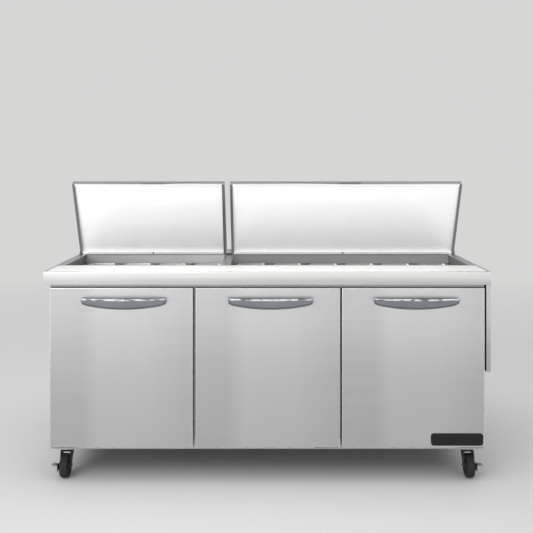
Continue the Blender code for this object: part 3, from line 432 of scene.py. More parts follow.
def loft(bm, rings, closed=False, caps=True, finish=0):
    """Joins rings of points in turn. closed joins the last to the first, and caps fills both ends."""
    made = [[bm.verts.new(point) for point in ring] for ring in rings]
    for one, two in itertools.pairwise(made):
        bridge(bm, one, two, finish)
    if closed:
        bridge(bm, made[-1], made[0], finish)
    elif caps:
        bm.faces.new(made[0][::-1]).material_index = finish
        bm.faces.new(made[-1]).material_index = finish
    return made


# Turns +Z towards each axis
AXES = {
    "x": Matrix.Rotation(math.pi / 2, 3, "Y"),
    "y": Matrix.Rotation(-math.pi / 2, 3, "X"),
    "z": Matrix.Identity(3),
}
POINT_RADIUS = 1e-5


def turn(bm, profile, centre, axis="z", segments=32, closed=False, finish=0, flip=False):
    """A (radius, height) profile turned about an axis through centre, with a tiny radius in place of 0."""
    centre = Vector(centre)
    along = -1 if flip else 1
    rings = []
    for radius, height in profile:
        radius = max(radius, POINT_RADIUS)
        rings.append([
            centre + AXES[axis] @ Vector((radius * math.cos(t), radius * math.sin(t), along * height))
            for t in (2 * math.pi * k / segments for k in range(segments))
        ])
    loft(bm, rings, closed=closed, finish=finish)


def tube(bm, points, radius, segments=10, finish=0):
    """A round wire or pipe along a list of points."""
    points = [Vector(p) for p in points]
    rings = []
    side = None
    for k, point in enumerate(points):
        ahead = points[min(k + 1, len(points) - 1)] - points[max(k - 1, 0)]
        ahead.normalize()
        if side is None:
            side = ahead.orthogonal().normalized()
        side = (side - ahead * side.dot(ahead)).normalized()
        other = ahead.cross(side)
        rings.append([
            point + radius * (math.cos(t) * side + math.sin(t) * other)
            for t in (2 * math.pi * j / segments for j in range(segments))
        ])
    loft(bm, rings, finish=finish)


def block(bm, low, high, finish=0):
    """A box between two corners."""
    made = bmesh.ops.create_cube(bm, size=1.0)["verts"]
    middle = [(a + b) / 2 for a, b in zip(low, high)]
    size = [b - a for a, b in zip(low, high)]
    for vertex in made:
        vertex.co = Vector(m + c * d for m, c, d in zip(middle, vertex.co, size))
    for face in {f for v in made for f in v.link_faces}:
        face.material_index = finish


def rounded_ring(half_a, half_b, corner, steps=6):
    """Points of a rounded rectangle about the origin, as (a, b)."""
    corner = min(corner, half_a, half_b)
    points = []
    for quarter, (sa, sb) in enumerate(((1, 1), (-1, 1), (-1, -1), (1, -1))):
        for k in range(steps + 1):
            t = math.pi / 2 * (quarter + k / steps)
            a = sa * (half_a - corner) + corner * math.cos(t)
            b = sb * (half_b - corner) + corner * math.sin(t)
            points.append((a, b))
    return points


def door_ring(low, high, inset, y, corner):
    """A rounded rectangle in a door's plane, inset from the door's edges."""
    half = ((high.x - low.x) / 2 - inset, (high.z - low.z) / 2 - inset)
    middle = (low + high) / 2
    return [(middle.x + a, y, middle.z + b) for a, b in rounded_ring(*half, corner)]


# (radius, height) of a screw head
SCREW = (
    (0, 0.0009), (0.0009, 0.0009), (0.0011, 0.0020), (0.0024, 0.0018), (0.0033, 0.0010), (0.0036, 0), (0, 0))


def screws(name, body, places, axis="y", segments=16, scale=(1, 1), flip=False):
    """Domed screw heads with a recess, on a face that looks along the axis."""
    bm = bmesh.new()
    for place in places:
        turn(bm, [(r * scale[0], h * scale[1]) for r, h in SCREW], place, axis, segments, flip=flip)
    piece(name, bm, body, "zinc_plated_steel", ZINC)


# ---------------------------------------------------------------- worktop and pans

def rounded_worktop():
    """Fascia, ends and rear folded over a radius."""
    low, high = WORKTOP

    def outer_fold(middle):
        on_top = abs(middle.z - high.z) < ON_FACE
        from_side = min(
            abs(middle.x - low.x), abs(middle.x - high.x), abs(middle.y - low.y), abs(middle.y - high.y))
        return on_top and from_side < ON_FACE

    softened("worktop", TOP_STEEL, EDGE, WORKTOP_EDGE, [(outer_fold, WORKTOP_FOLD)])


PAN_SHEET = 0.0012
PAN_HALF = (0.0800, 0.0880)     # half width and half length of the CAD pan's rim
PAN_WALL = (0.0708, 0.0788)     # and of its walls, at the top
PAN_DEPTH = 0.100
PAN_RIM_CLEARANCE = 0.0005


def pan(bm, x, y, top, half_x, half_y):
    """A pressed pan: rolled rim, rounded corners, a stacking step, tapered walls and a filleted bottom."""
    def ring(inset, corner, depth, from_wall=True, grow=0.0):
        a, b = PAN_WALL if from_wall else (half_x, half_y)
        return [
            (x + p, y + q, top - depth)
            for p, q in rounded_ring(a - inset + grow, b - inset + grow, corner)
        ]

    sheet = PAN_SHEET
    inside = [
        ring(0.0, 0.010, 0.0045, False), ring(0.0, 0.010, 0.0012, False), ring(0.0004, 0.010, 0.0004, False),
        ring(0.0012, 0.009, 0.0, False), ring(0.0045, 0.009, 0.0, False), ring(-0.0022, 0.021, 0.0004),
        ring(-0.0006, 0.020, 0.0010), ring(0.0, 0.020, 0.0030), ring(0.0006, 0.020, 0.0200),
        ring(0.0022, 0.020, 0.0215), ring(0.0050, 0.022, PAN_DEPTH - 0.012),
        ring(0.0072, 0.022, PAN_DEPTH - 0.005),
        ring(0.0120, 0.020, PAN_DEPTH - 0.0018), ring(0.0200, 0.016, PAN_DEPTH - sheet),
    ]
    outside = [
        ring(0.0200, 0.016, PAN_DEPTH, grow=sheet), ring(0.0110, 0.022, PAN_DEPTH - 0.0012, grow=sheet),
        ring(0.0060, 0.023, PAN_DEPTH - 0.006, grow=sheet), ring(0.0030, 0.023, 0.030, grow=sheet),
        ring(0.0006, 0.021, 0.0200, grow=sheet), ring(0.0, 0.021, 0.0030, grow=sheet),
        ring(0.0045, 0.009, sheet, False), ring(sheet, 0.009, 0.0022, False),
        ring(sheet, 0.009, 0.0045, False),
    ]
    made = loft(bm, inside, caps=False)
    bm.faces.new(made[-1])
    under = loft(bm, outside, caps=False)
    bm.faces.new(under[0])
    bridge(bm, under[-1], made[0])


def repaint(made, finish, chosen):
    """Gives a softened piece's chosen faces another finish."""
    made.data.materials.append(finish)
    last = len(made.data.materials) - 1
    for polygon in made.data.polygons:
        if chosen(polygon):
            polygon.material_index = last


def underside():
    """The base pan, with painted shade: its downward faces are near black, for the shadow under the cabinet.
    """
    repaint(softened("base_pan", STEEL, EDGE), UNDERSIDE_SHADE, lambda face: face.normal.z < -0.5)


BREAKER_DEPTH = 0.05        # behind the liner's front edge


def breaker_strips():
    """White plastic over the insulation's edge round the door openings."""
    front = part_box("interior_liner")[0].y + BREAKER_DEPTH
    repaint(softened("insulation", FOAM), LINER, lambda face: face.center.y < front)


def food_pans():
    for number in range(1, 6):
        node = f"food_pans_{number}"
        low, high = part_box(node)
        columns = (low.x + PAN_HALF[0], high.x - PAN_HALF[0])
        rows = (low.y + PAN_HALF[1], high.y - PAN_HALF[1])
        half_x = (columns[1] - columns[0]) / 2 - PAN_RIM_CLEARANCE
        half_y = (rows[1] - rows[0]) / 2 - PAN_RIM_CLEARANCE
        bm = bmesh.new()
        for x, y in itertools.product(columns, rows):
            pan(bm, x, y, high.z, half_x, half_y)
        piece(f"{node}_pressed", bm, "cabinet", "pan_stainless", PAN_STEEL, stands_for=[node])


# ---------------------------------------------------------------- doors

def door(name):
    """A door skin folded back over a radius at its front edges."""
    node = f"door_{name}_shell"
    low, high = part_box(node)
    made = softened(
        node, DOOR_STEEL, EDGE, bends=[(lambda middle: abs(middle.y - low.y) < ON_FACE, DOOR_FOLD)])
    # position across the door, which places the painted reflection band in its steel
    across = made.data.attributes.new("across", "FLOAT", "POINT")
    span = high.x - low.x
    across.data.foreach_set("value", [(v.co.x - low.x) / span for v in made.data.vertices])


DYKE_INSET = 0.055          # of the raised middle, from the liner's edge
DYKE_HEIGHT = 0.0065


def door_inside(name):
    """Liner with a raised middle, and a bellows gasket round it."""
    low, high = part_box(f"door_{name}_liner")
    back = high.y
    bm = bmesh.new()
    levels = [
        (0.0018, low.y, 0.003), (0.0018, back - 0.002, 0.003),
        (0.0, back - 0.002, 0.003), (0.0, back - 0.0006, 0.003),
        (0.0008, back, 0.003), (DYKE_INSET - 0.010, back, 0.010), (DYKE_INSET - 0.006, back + 0.0008, 0.012),
        (DYKE_INSET, back + DYKE_HEIGHT - 0.001, 0.016), (DYKE_INSET + 0.004, back + DYKE_HEIGHT, 0.018),
        (DYKE_INSET + 0.020, back + DYKE_HEIGHT, 0.016),
        (DYKE_INSET + 0.026, back + DYKE_HEIGHT - 0.0025, 0.016),
    ]
    loft(bm, [door_ring(low, high, *level) for level in levels])
    body = f"door_{name}"
    piece(f"door_{name}_liner_pressed", bm, body, "white_liner", LINER, stands_for=[f"door_{name}_liner"])
    low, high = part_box(f"door_{name}_gasket")
    base, lip = low.y, high.y
    bm = bmesh.new()
    ridges = [
        (0.0, base), (0.0, base + 0.0016), (0.0022, base + 0.0026), (0.0008, base + 0.0040),
        (0.0012, lip - 0.0008), (0.0030, lip), (0.0120, lip), (0.0150, lip - 0.0006),
        (0.0158, base + 0.0042), (0.0142, base + 0.0028),
        (0.0170, base + 0.0018), (0.0178, base),
    ]
    loft(bm, [door_ring(low, high, inset, y, 0.006) for inset, y in ridges], closed=True)
    gasket = f"door_{name}_gasket"
    piece(f"{gasket}_bellows", bm, body, "gasket_rubber", RUBBER, stands_for=[gasket])


HANDLE_END_HEIGHT = 0.030
HANDLE_WALL = 0.002
HANDLE_LIP = 0.009         # depth of the lighter rolled lip
HANDLE_STATIONS = 72
HANDLE_STEPS = 12
HANDLE_WELD = 1e-6


def scoop_line(u, size, inset):
    """A handle's section at station u, from the lip down and back to the door, as (y, z)."""
    reach, height = size
    squareness = (1 - abs(u) ** 16) ** (1 / 5)
    out = (reach * (1 - 0.25 * u * u)) * squareness - inset
    drop = HANDLE_END_HEIGHT + (height - HANDLE_END_HEIGHT) * (1 - u * u)
    drop = drop * (0.35 + 0.65 * squareness) - inset
    out = max(out, 0.0004)
    drop = max(drop, 0.001)
    line = []
    for k in range(HANDLE_STEPS + 1):
        t = math.pi / 2 * k / HANDLE_STEPS
        line.append((-out * math.cos(t) ** 0.9, -drop * (0.16 + 0.84 * math.sin(t) ** 1.1)))
    return line


def handle(name):
    """Chrome scoop with a rolled lip, open above, its ends swept back to the door."""
    low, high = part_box(f"door_{name}_handle")
    middle = (low.x + high.x) / 2
    half = (high.x - low.x) / 2
    size = (high.y - low.y, high.z - low.z)
    bm = bmesh.new()
    rings = []
    for station in range(HANDLE_STATIONS + 1):
        u = math.sin(math.pi / 2 * (-1 + 2 * station / HANDLE_STATIONS)) * 0.9995
        outer = scoop_line(u, size, 0.0)
        inner = scoop_line(u, size, HANDLE_WALL)
        out, inn = outer[0][0], inner[0][0]
        lip = [(out, -0.0012), (out * 0.9 + inn * 0.1, -0.0003), ((out + inn) / 2, 0.0),
               (out * 0.1 + inn * 0.9, -0.0003), (inn, -0.0012)]
        section = outer[::-1] + lip + inner
        rings.append([(middle + half * u, high.y + y, high.z + z) for y, z in section])
    made = loft(bm, rings)
    # the lip faces get the chrome with the painted reflection
    for face in bm.faces:
        if min(v.co.z for v in face.verts) > high.z - HANDLE_LIP:
            face.material_index = 1
    bmesh.ops.remove_doubles(bm, verts=[v for ring in made for v in ring], dist=HANDLE_WELD)
    piece(f"door_{name}_handle_scoop", bm, f"door_{name}", "chrome_plate", CHROME, LIP_CHROME,
          stands_for=[f"door_{name}_handle"])


# ---------------------------------------------------------------- hoods

# Sizes of the closed hood, from its pivot
HOOD_PIVOT = Vector((0, 0.187, 0.8785))
HOOD_OPEN = math.radians(65.8)
HOOD_REACH = 0.370          # forward
HOOD_REAR = 0.006           # backward
HOOD_FRONT_HEIGHT = 0.033
HOOD_SLOPE = 0.045          # rise from front to rear
HOOD_DROP = 0.008           # of the rim, below the heights above
HOOD_MARGIN = 0.0025
ON_CROWN = 0.0004
LINER_LEVEL = 0.0075        # height up to which the inside is white
SIDE_RIM = 0.0128
RIM_CUT = 0.0124            # where the side rims' finish begins
TONGUE_CUT = 0.3693
STOP = ((0, 0.0010), (0.0030, 0.0010), (0.0040, 0.0006), (0.0044, 0), (0, 0))     # on the rear rim
STOP_INSET = 0.0065


def closed_place(point):
    """A point of an open hood, where it would be in the closed hood, from the pivot."""
    return Matrix.Rotation(HOOD_OPEN, 3, "X") @ (Vector(point) - HOOD_PIVOT)


def is_crown(point):
    """Whether a point lies on the hood's top outer edges."""
    place = closed_place(point)
    along = (place.y + HOOD_REACH) / (HOOD_REACH + HOOD_REAR)
    crown = HOOD_FRONT_HEIGHT + HOOD_SLOPE * min(max(along, 0), 1) - HOOD_DROP
    return abs(place.z - crown) < ON_CROWN


def hood(name):
    """Steel hood whose white liner wraps over the rim's long sides."""
    node = f"lid_{name}_shell"
    low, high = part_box(node)

    def is_white(face):
        place = closed_place(face.center)
        from_side = min(place.x - low.x, high.x - place.x)
        inside = -HOOD_REACH + HOOD_MARGIN < place.y < HOOD_REAR - HOOD_MARGIN
        return inside and from_side > SIDE_RIM and place.z < LINER_LEVEL

    def is_shaded(face):
        place = closed_place(face.center)
        normal = Matrix.Rotation(HOOD_OPEN, 3, "X") @ face.normal
        on_rim = min(place.x - low.x, high.x - place.x) < SIDE_RIM
        on_tongue = place.y < -HOOD_REACH + HOOD_MARGIN
        return normal.z < -0.5 and place.z < LINER_LEVEL and (on_rim or on_tongue)

    opened = Matrix.Rotation(-HOOD_OPEN, 3, "X")
    inset = Vector((RIM_CUT, 0, 0))
    cuts = [
        (low + inset, (1, 0, 0)), (high - inset, (1, 0, 0)),
        (HOOD_PIVOT + opened @ Vector((0, -TONGUE_CUT, 0)), opened @ Vector((0, 1, 0))),
    ]
    made = softened(node, STEEL, EDGE, bends=[(is_crown, HOOD_FOLD)], cuts=cuts)
    repaint(made, LINER, is_white)
    repaint(made, SHADE_STEEL, is_shaded)
    rim = min(closed_place(v.co).z for v in made.data.vertices)
    bm = bmesh.new()
    turn(bm, STOP, ((low.x + high.x) / 2, HOOD_REAR - STOP_INSET, rim), "z", 20, flip=True)
    bmesh.ops.transform(bm, matrix=Matrix.Translation(HOOD_PIVOT) @ opened.to_4x4(), verts=bm.verts)
    piece(f"lid_{name}_stop", bm, f"lid_{name}", "gasket_rubber", RUBBER)


# ---------------------------------------------------------------- casters

HUB_STAND_OUT = 0.0025      # of the bearing cap, beyond the tyre
BOSS_CIRCLE = 0.0275        # radius of the circle of bosses on a wheel
BOSSES = 6
BOSS = ((0, 0), (0.0042, 0), (0.0036, 0.0008), (0.0016, 0.0010), (0, 0.0010))
AXLE_NUT = ((0, 0.0042), (0.0035, 0.0042), (0.0052, 0.0036), (0.0064, 0.0022), (0.0064, 0), (0, 0))
AXLE_NUT_SINK = 0.0045
FORK_EDGE = 0.0007


def caster(corner):
    """Rubber tyre on a moulded wheel with a pressed bearing cap, in a rounded fork."""
    wheel_node = f"caster_{corner}_wheel"
    low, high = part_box(wheel_node)
    centre = (low + high) / 2
    radius = (high.z - low.z) / 2
    half = (high.x - low.x) / 2 - HUB_STAND_OUT
    tyre = [
        (radius - 0.0085, -half + 0.001), (radius - 0.004, -half), (radius - 0.0015, -half + 0.0018),
        (radius - 0.0003, -half + 0.0045), (radius, -half / 3),
        (radius, half / 3), (radius - 0.0003, half - 0.0045),
        (radius - 0.0015, half - 0.0018), (radius - 0.004, half), (radius - 0.0085, half - 0.001),
    ]
    core = [
        (radius - 0.0088, half - 0.0015), (radius - 0.011, half - 0.0005), (radius - 0.013, half - 0.0025),
        (0.020, half - 0.0055), (0.0165, half - 0.0045), (0.0150, half + 0.0016), (0.0130, half + 0.0024),
        (0.0064, half + 0.0024),
    ]
    core = [(r, -h) for r, h in core[::-1]] + core
    bm = bmesh.new()
    turn(bm, tyre, centre, "x", 64, closed=True)
    turn(bm, core, centre, "x", 48, closed=True, finish=1)
    for boss, side in itertools.product(range(BOSSES), (-1, 1)):
        angle = 2 * math.pi * boss / BOSSES
        place = (side * (half - 0.0048), BOSS_CIRCLE * math.cos(angle), BOSS_CIRCLE * math.sin(angle))
        turn(bm, BOSS, centre + Vector(place), "x", 14, finish=1, flip=side < 0)
    body = f"wheel_{corner}"
    piece(f"caster_{corner}_tyred_wheel", bm, body, "caster_tyre", TYRE, PLASTIC, stands_for=[wheel_node])
    softened(f"caster_{corner}_fork", BLACK_PAINT, BLACK_PAINT, FORK_EDGE)
    fork_low, fork_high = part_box(f"caster_{corner}_fork")
    bm = bmesh.new()
    for side, x in ((-1, fork_low.x), (1, fork_high.x)):
        start = (x - side * AXLE_NUT_SINK, centre.y, centre.z)
        turn(bm, AXLE_NUT, start, "x", 6, flip=side < 0)
    piece(f"caster_{corner}_axle_nuts", bm, f"caster_{corner}", "zinc_plated_steel", ZINC)


# ---------------------------------------------------------------- cabinet details

SHELF_EDGES = ((-0.838, -0.290), (-0.274, 0.274), (0.290, 0.838))
SHELF_INSET = 0.003
SHELF_CORNER = 0.012
SHELF_WIRES = 26
SHELF_BARS = 3
FRAME_WIRE = 0.0026
SHELF_WIRE = 0.0014
CROSS_WIRE = 0.0022
CLIP_REACH = 0.004


def wire_shelves():
    """Welded round-wire shelves with a heavier frame and cross bars."""
    low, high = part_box("wire_shelves")
    middle = (low.z + high.z) / 2
    bm = bmesh.new()
    for left, right in SHELF_EDGES:
        x = (left + SHELF_INSET, right - SHELF_INSET)
        y = (low.y + SHELF_INSET, high.y - SHELF_INSET)
        frame_line = [
            ((x[0] + x[1]) / 2 + a, (y[0] + y[1]) / 2 + b, middle - 0.0002)
            for a, b in rounded_ring((x[1] - x[0]) / 2, (y[1] - y[0]) / 2, SHELF_CORNER)
        ]
        tube(bm, frame_line + frame_line[:2], FRAME_WIRE)
        for k in range(SHELF_WIRES):
            at_x = x[0] + (x[1] - x[0]) * (k + 0.5) / SHELF_WIRES
            tube(bm, [(at_x, y[0], middle + 0.0010), (at_x, y[1], middle + 0.0010)], SHELF_WIRE, 8)
        for k in range(SHELF_BARS):
            at_y = y[0] + (y[1] - y[0]) * (k + 1) / (SHELF_BARS + 1)
            tube(bm, [(x[0], at_y, middle - 0.0014), (x[1], at_y, middle - 0.0014)], CROSS_WIRE, 8)
    for one, two in itertools.pairwise(SHELF_EDGES):
        for y in (low.y + SHELF_INSET, high.y - SHELF_INSET):
            start = (one[1] - CLIP_REACH, y - CROSS_WIRE, low.z)
            block(bm, start, (two[0] + CLIP_REACH, y + CROSS_WIRE, high.z))
    piece("wire_shelves_welded", bm, "cabinet", "zinc_plated_steel", ZINC, stands_for=["wire_shelves"])


FIN = 0.0003
HEADER_PLATE = 0.0012
COIL_END = 0.006
COIL_TUBE = 0.0045


def coil(node, pitch, tubes):
    """Thin fins on a serpentine of tubes, with a header plate at each end."""
    low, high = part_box(node)
    bm = bmesh.new()
    count = int((high.x - low.x) / pitch)
    for k in range(count + 1):
        x = low.x + COIL_END + (high.x - low.x - 2 * COIL_END) * k / count
        thickness = HEADER_PLATE if k in (0, count) else FIN
        block(bm, (x - thickness / 2, low.y, low.z), (x + thickness / 2, high.y, high.z))
    ys = (low.y + (high.y - low.y) * 0.3, low.y + (high.y - low.y) * 0.7)
    zs = [low.z + (high.z - low.z) * (k + 0.5) / tubes for k in range(tubes)]
    for y in ys:
        route = []
        for k, z in enumerate(zs):
            ends = (low.x + 0.002, high.x - 0.002)
            ends = ends if k % 2 == 0 else ends[::-1]
            route += [(ends[0], y, z), (ends[1], y, z)]
        tube(bm, route, COIL_TUBE, 10, finish=1)
    piece(f"{node}_fins", bm, "cabinet", "fin_aluminium", ALUMINIUM, COPPER, stands_for=[node])


FAN_HUB = ((0.0033, -0.009), (0.0145, -0.009), (0.016, -0.0075), (0.016, 0.009), (0.0033, 0.009))
FAN_BLADES = 4
BLADE_ROOT = 0.0145
BLADE_STEPS = 8
# (share of the half chord, thickness) round a blade's section
BLADE_SECTION = (
    (-1, 0), (-0.5, 0.0009), (0, 0.0012), (0.5, 0.0009),
    (1, 0), (0.5, -0.0005), (0, -0.0004), (-0.5, -0.0005),
)


def fan(node, body, finish, slot_name):
    """A hub with twisted, swept blades."""
    low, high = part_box(node)
    centre = (low + high) / 2
    radius = (high.x - low.x) / 2 - 0.0002
    bm = bmesh.new()
    turn(bm, FAN_HUB, centre, "y", 32, closed=True)
    for blade in range(FAN_BLADES):
        spin = Matrix.Rotation(2 * math.pi / FAN_BLADES * blade, 3, "Y")
        rings = []
        for k in range(BLADE_STEPS + 1):
            share = k / BLADE_STEPS
            reach = BLADE_ROOT + (radius - 0.0015 - BLADE_ROOT) * share
            pitch = math.radians(38 - 18 * share)
            chord = 0.013 + 0.010 * math.sin(math.pi * min(1.0, 0.25 + 0.65 * share))
            sweep = 0.25 * share * share
            ring = []
            for across, thick in BLADE_SECTION:
                axial = across * chord * math.sin(pitch) + thick
                angle = across * chord * math.cos(pitch) / max(reach, 0.02) + sweep
                place = Vector((reach * math.cos(angle), axial, reach * math.sin(angle)))
                ring.append(centre + spin @ place)
            rings.append(ring)
        loft(bm, rings)
    piece(f"{node}_blades", bm, body, slot_name, finish, stands_for=[node])


GUARD_RINGS = (0.018, 0.034, 0.050, 0.066)
GUARD_REACH = (0.016, 0.074)
GUARD_WIRE = 0.0011
GUARD_SPOKE = 0.0014


def fan_guard():
    """Concentric wire guard over the evaporator fan."""
    low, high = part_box("evaporator_housing")
    centre = Vector(((low.x + high.x) / 2, low.y - 0.0012, (low.z + high.z) / 2))
    bm = bmesh.new()
    for radius in GUARD_RINGS:
        circle = [
            centre + Vector((radius * math.cos(t), 0, radius * math.sin(t)))
            for t in (2 * math.pi * k / 40 for k in range(41))
        ]
        tube(bm, circle, GUARD_WIRE, 6)
    for k in range(4):
        t = math.pi / 4 + math.pi / 2 * k
        way = Vector((math.cos(t), 0, math.sin(t)))
        tube(bm, [centre + way * GUARD_REACH[0], centre + way * GUARD_REACH[1]], GUARD_SPOKE, 6)
    piece("evaporator_fan_guard", bm, "cabinet", "zinc_plated_steel", ZINC)


POT_INSET = 0.003           # of the pot, from the CAD pot's radius, for the seam to stand out
POT_SHOULDER = 0.110
FOOT_PLATE = (0.095, 0.060, 0.006)
FOOT_PLACE = (0.082, 0.047)
FOOT = ((0, 0.006), (0.011, 0.006), (0.0095, 0.012), (0.004, 0.013), (0, 0.013))


def compressor():
    """Welded pot with a seam, domed top, terminal box and mounting feet."""
    low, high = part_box("compressor")
    centre = Vector(((low.x + high.x) / 2, (low.y + high.y) / 2, low.z))
    top = high.z - low.z
    radius = (high.y - low.y) / 2 - POT_INSET
    seam = radius + POT_INSET
    profile = [
        (0, 0.0062), (radius - 0.012, 0.0062), (radius - 0.003, 0.012), (radius, 0.022), (radius, 0.070),
        (radius + 0.0018, 0.0715), (seam, 0.074), (seam, 0.078), (radius + 0.0018, 0.0805), (radius, 0.082),
    ]
    for k in range(11):
        t = math.pi / 2 * k / 10
        profile.append((radius * math.cos(t), POT_SHOULDER + (top - POT_SHOULDER) * math.sin(t)))
    bm = bmesh.new()
    turn(bm, profile, centre, "z", 64)
    x, y, z = FOOT_PLATE
    block(bm, centre + Vector((-x, -y, 0)), centre + Vector((x, y, z)))
    box = ((-0.024, radius - 0.008, 0.034), (0.024, radius + 0.0025, 0.090))
    block(bm, centre + Vector(box[0]), centre + Vector(box[1]))
    for sx, sy in itertools.product((-1, 1), repeat=2):
        turn(bm, FOOT, centre + Vector((sx * FOOT_PLACE[0], sy * FOOT_PLACE[1], 0)), "z", 20)
    round_edges(bm, 0.0008, 2, lambda e: e.calc_face_angle(0) > math.radians(80))
    paint = (BLACK_PAINT, BLACK_PAINT)
    piece("compressor_pot", bm, "cabinet", "black_paint", *paint, stands_for=["compressor"])


def arc_route(points, radius=0.018, steps=5):
    """A route of straight runs with rounded bends."""
    points = [Vector(p) for p in points]
    route = [points[0]]
    for before, corner, after in zip(points, points[1:], points[2:]):
        into = (before - corner).normalized()
        away = (after - corner).normalized()
        reach = min(radius, (before - corner).length / 2, (after - corner).length / 2)
        start = corner + into * reach
        end = corner + away * reach
        for k in range(steps + 1):
            t = k / steps
            route.append(start * (1 - t) ** 2 + corner * 2 * t * (1 - t) + end * t * t)
    route.append(points[-1])
    return route


DISCHARGE_PIPE = 0.0040     # radius
SUCTION_PIPE = 0.0050


def refrigerant_pipes():
    """Discharge pipe to the condenser, and suction pipe up into the insulation."""
    low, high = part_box("compressor")
    coil_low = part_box("condenser_coil")[0]
    pot = Vector(((low.x + high.x) / 2, (low.y + high.y) / 2, low.z))
    bm = bmesh.new()
    tube(bm, arc_route([
        pot + Vector((0.070, 0.010, 0.120)), pot + Vector((0.120, 0.010, 0.120)),
        pot + Vector((0.120, 0.010, 0.200)), (coil_low.x - 0.020, pot.y + 0.060, pot.z + 0.200),
        (coil_low.x + 0.004, pot.y + 0.066, pot.z + 0.200),
    ]), DISCHARGE_PIPE, 12)
    tube(bm, arc_route([
        pot + Vector((0.060, -0.020, 0.130)), pot + Vector((0.100, -0.045, 0.130)),
        pot + Vector((0.100, -0.045, 0.225)), pot + Vector((0.100, -0.075, 0.225)),
    ]), SUCTION_PIPE, 12)
    piece("refrigerant_pipes", bm, "cabinet", "zinc_plated_steel", COPPER)


TRAY_PLACE = (0.52, 0.275)
TRAY_DEPTH = 0.028
TRAY_HALF = (0.105, 0.080)
TRAY_WALL = 0.002
TRAY_RIM = 0.005


def condensate_pan():
    """Shallow tray on the floor of the machine space, under the drain."""
    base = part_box("base_pan")[1].z

    def ring(grow, corner, height):
        a, b = TRAY_HALF
        return [
            (TRAY_PLACE[0] + p, TRAY_PLACE[1] + q, base + height)
            for p, q in rounded_ring(a + grow, b + grow, corner)
        ]

    bm = bmesh.new()
    loft(bm, [
        ring(-0.006, 0.012, 0.0004), ring(0, 0.014, TRAY_DEPTH - TRAY_WALL),
        ring(TRAY_RIM, 0.016, TRAY_DEPTH - TRAY_WALL), ring(TRAY_RIM, 0.016, TRAY_DEPTH),
        ring(-TRAY_WALL, 0.013, TRAY_DEPTH), ring(-TRAY_WALL - 0.007, 0.011, 0.0024),
    ])
    piece("condensate_pan", bm, "cabinet", "black_plastic", PLASTIC)


# (first, pitch, count) of the grille's slots
LOUVRE_COLUMNS = (-0.760, 0.420, 4)
LOUVRE_ROWS = (0.045, 0.020, 9)
LOUVRE_WIDTH = 0.260
LOUVRE_LAP = 0.003
LOUVRE_REACH = 0.0075
LOUVRE_DROP = 0.0095
LOUVRE_SHEET = 0.0009


def louvres():
    """Pressed hoods over the slots of the rear grille."""
    low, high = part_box("rear_grille")
    bm = bmesh.new()
    for column, row in itertools.product(range(LOUVRE_COLUMNS[2]), range(LOUVRE_ROWS[2])):
        left = LOUVRE_COLUMNS[0] + LOUVRE_COLUMNS[1] * column - LOUVRE_LAP
        right = left + LOUVRE_WIDTH + 2 * LOUVRE_LAP
        foot = low.z + LOUVRE_ROWS[0] + LOUVRE_ROWS[1] * row + 0.0104
        rings = []
        for k in range(13):
            share = k / 12
            x = left + (right - left) * share
            swell = min(1.0, math.sin(math.pi * share) * 3.2) ** 0.5
            ring = []
            for depth in (0.0, LOUVRE_SHEET):
                arc = [
                    (LOUVRE_REACH * swell * math.sin(t), -LOUVRE_DROP * (1 - math.cos(t)))
                    for t in (math.pi / 2 * j / 5 for j in range(6))
                ]
                line = [
                    (x, high.y + 0.0002 + max(y - depth, 0.0), foot + 0.004 + z - depth * 0.4)
                    for y, z in arc
                ]
                ring += line if depth == 0 else line[::-1]
            rings.append(ring)
        loft(bm, rings)
    piece("rear_louvres", bm, "cabinet", "brushed_stainless", STEEL)


BEZEL_EDGE = 0.0016
WINDOW_X = (-0.012, 0.036)
WINDOW_MARGIN = 0.009
KEY_X = (-0.034, 0.0085)        # first and pitch
KEYS = 3
KEY = ((0, 0.0009), (0.0022, 0.0009), (0.0030, 0.0005), (0.0032, 0), (0, 0))


def controller():
    """Bezel, smoked display window and keys on the temperature controller."""
    low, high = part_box("temperature_controller")
    softened("temperature_controller", PLASTIC, PLASTIC, BEZEL_EDGE)
    face = high.y - 0.0002
    bm = bmesh.new()
    start = (WINDOW_X[0], face - 0.0008, low.z + WINDOW_MARGIN)
    block(bm, start, (WINDOW_X[1], face + 0.0004, high.z - WINDOW_MARGIN))
    round_edges(bm, 0.0005, 2)
    piece("controller_window", bm, "cabinet", "black_plastic", DISPLAY, DISPLAY)
    bm = bmesh.new()
    for k in range(KEYS):
        place = (KEY_X[0] + KEY_X[1] * k, face - 0.0002, (low.z + high.z) / 2)
        turn(bm, KEY, place, "y", 20)
    piece("controller_keys", bm, "cabinet", "black_plastic", KEY_RUBBER)


GRILLE_SCREWS_X = (-0.86, -0.43, 0.0, 0.43, 0.86)
PANEL_SCREWS_X = (-0.86, -0.43, 0.43, 0.86)
LIP_RIVETS_X = (-0.80, -0.60, -0.40, -0.15, 0.15, 0.40, 0.60, 0.80)


def fastenings():
    """Screws on the rear panels, the side cover and the hinge strips."""
    low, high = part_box("rear_grille")
    rear = [(x, high.y, z) for x in GRILLE_SCREWS_X for z in (low.z + 0.012, high.z - 0.012)]
    low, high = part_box("back_panel")
    rear += [(x, high.y, z) for x in PANEL_SCREWS_X for z in (low.z + 0.014, (low.z + high.z) / 2)]
    screws("rear_screws", "cabinet", rear)
    low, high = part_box("side_service_cover")
    corners = itertools.product((low.y + 0.05, high.y - 0.03), (low.z + 0.02, high.z - 0.03))
    cover = [(high.x - 0.0002, y, z) for y, z in corners]
    screws("cover_screws", "cabinet", cover, "x", scale=(1, 0.25))
    low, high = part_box("hinge_rail_top")
    lip = [(x, low.y + 0.0006, high.z - 0.0048) for x in LIP_RIVETS_X]
    screws("lip_rivets", "cabinet", lip, "y", 12, scale=(0.6, 0.25), flip=True)


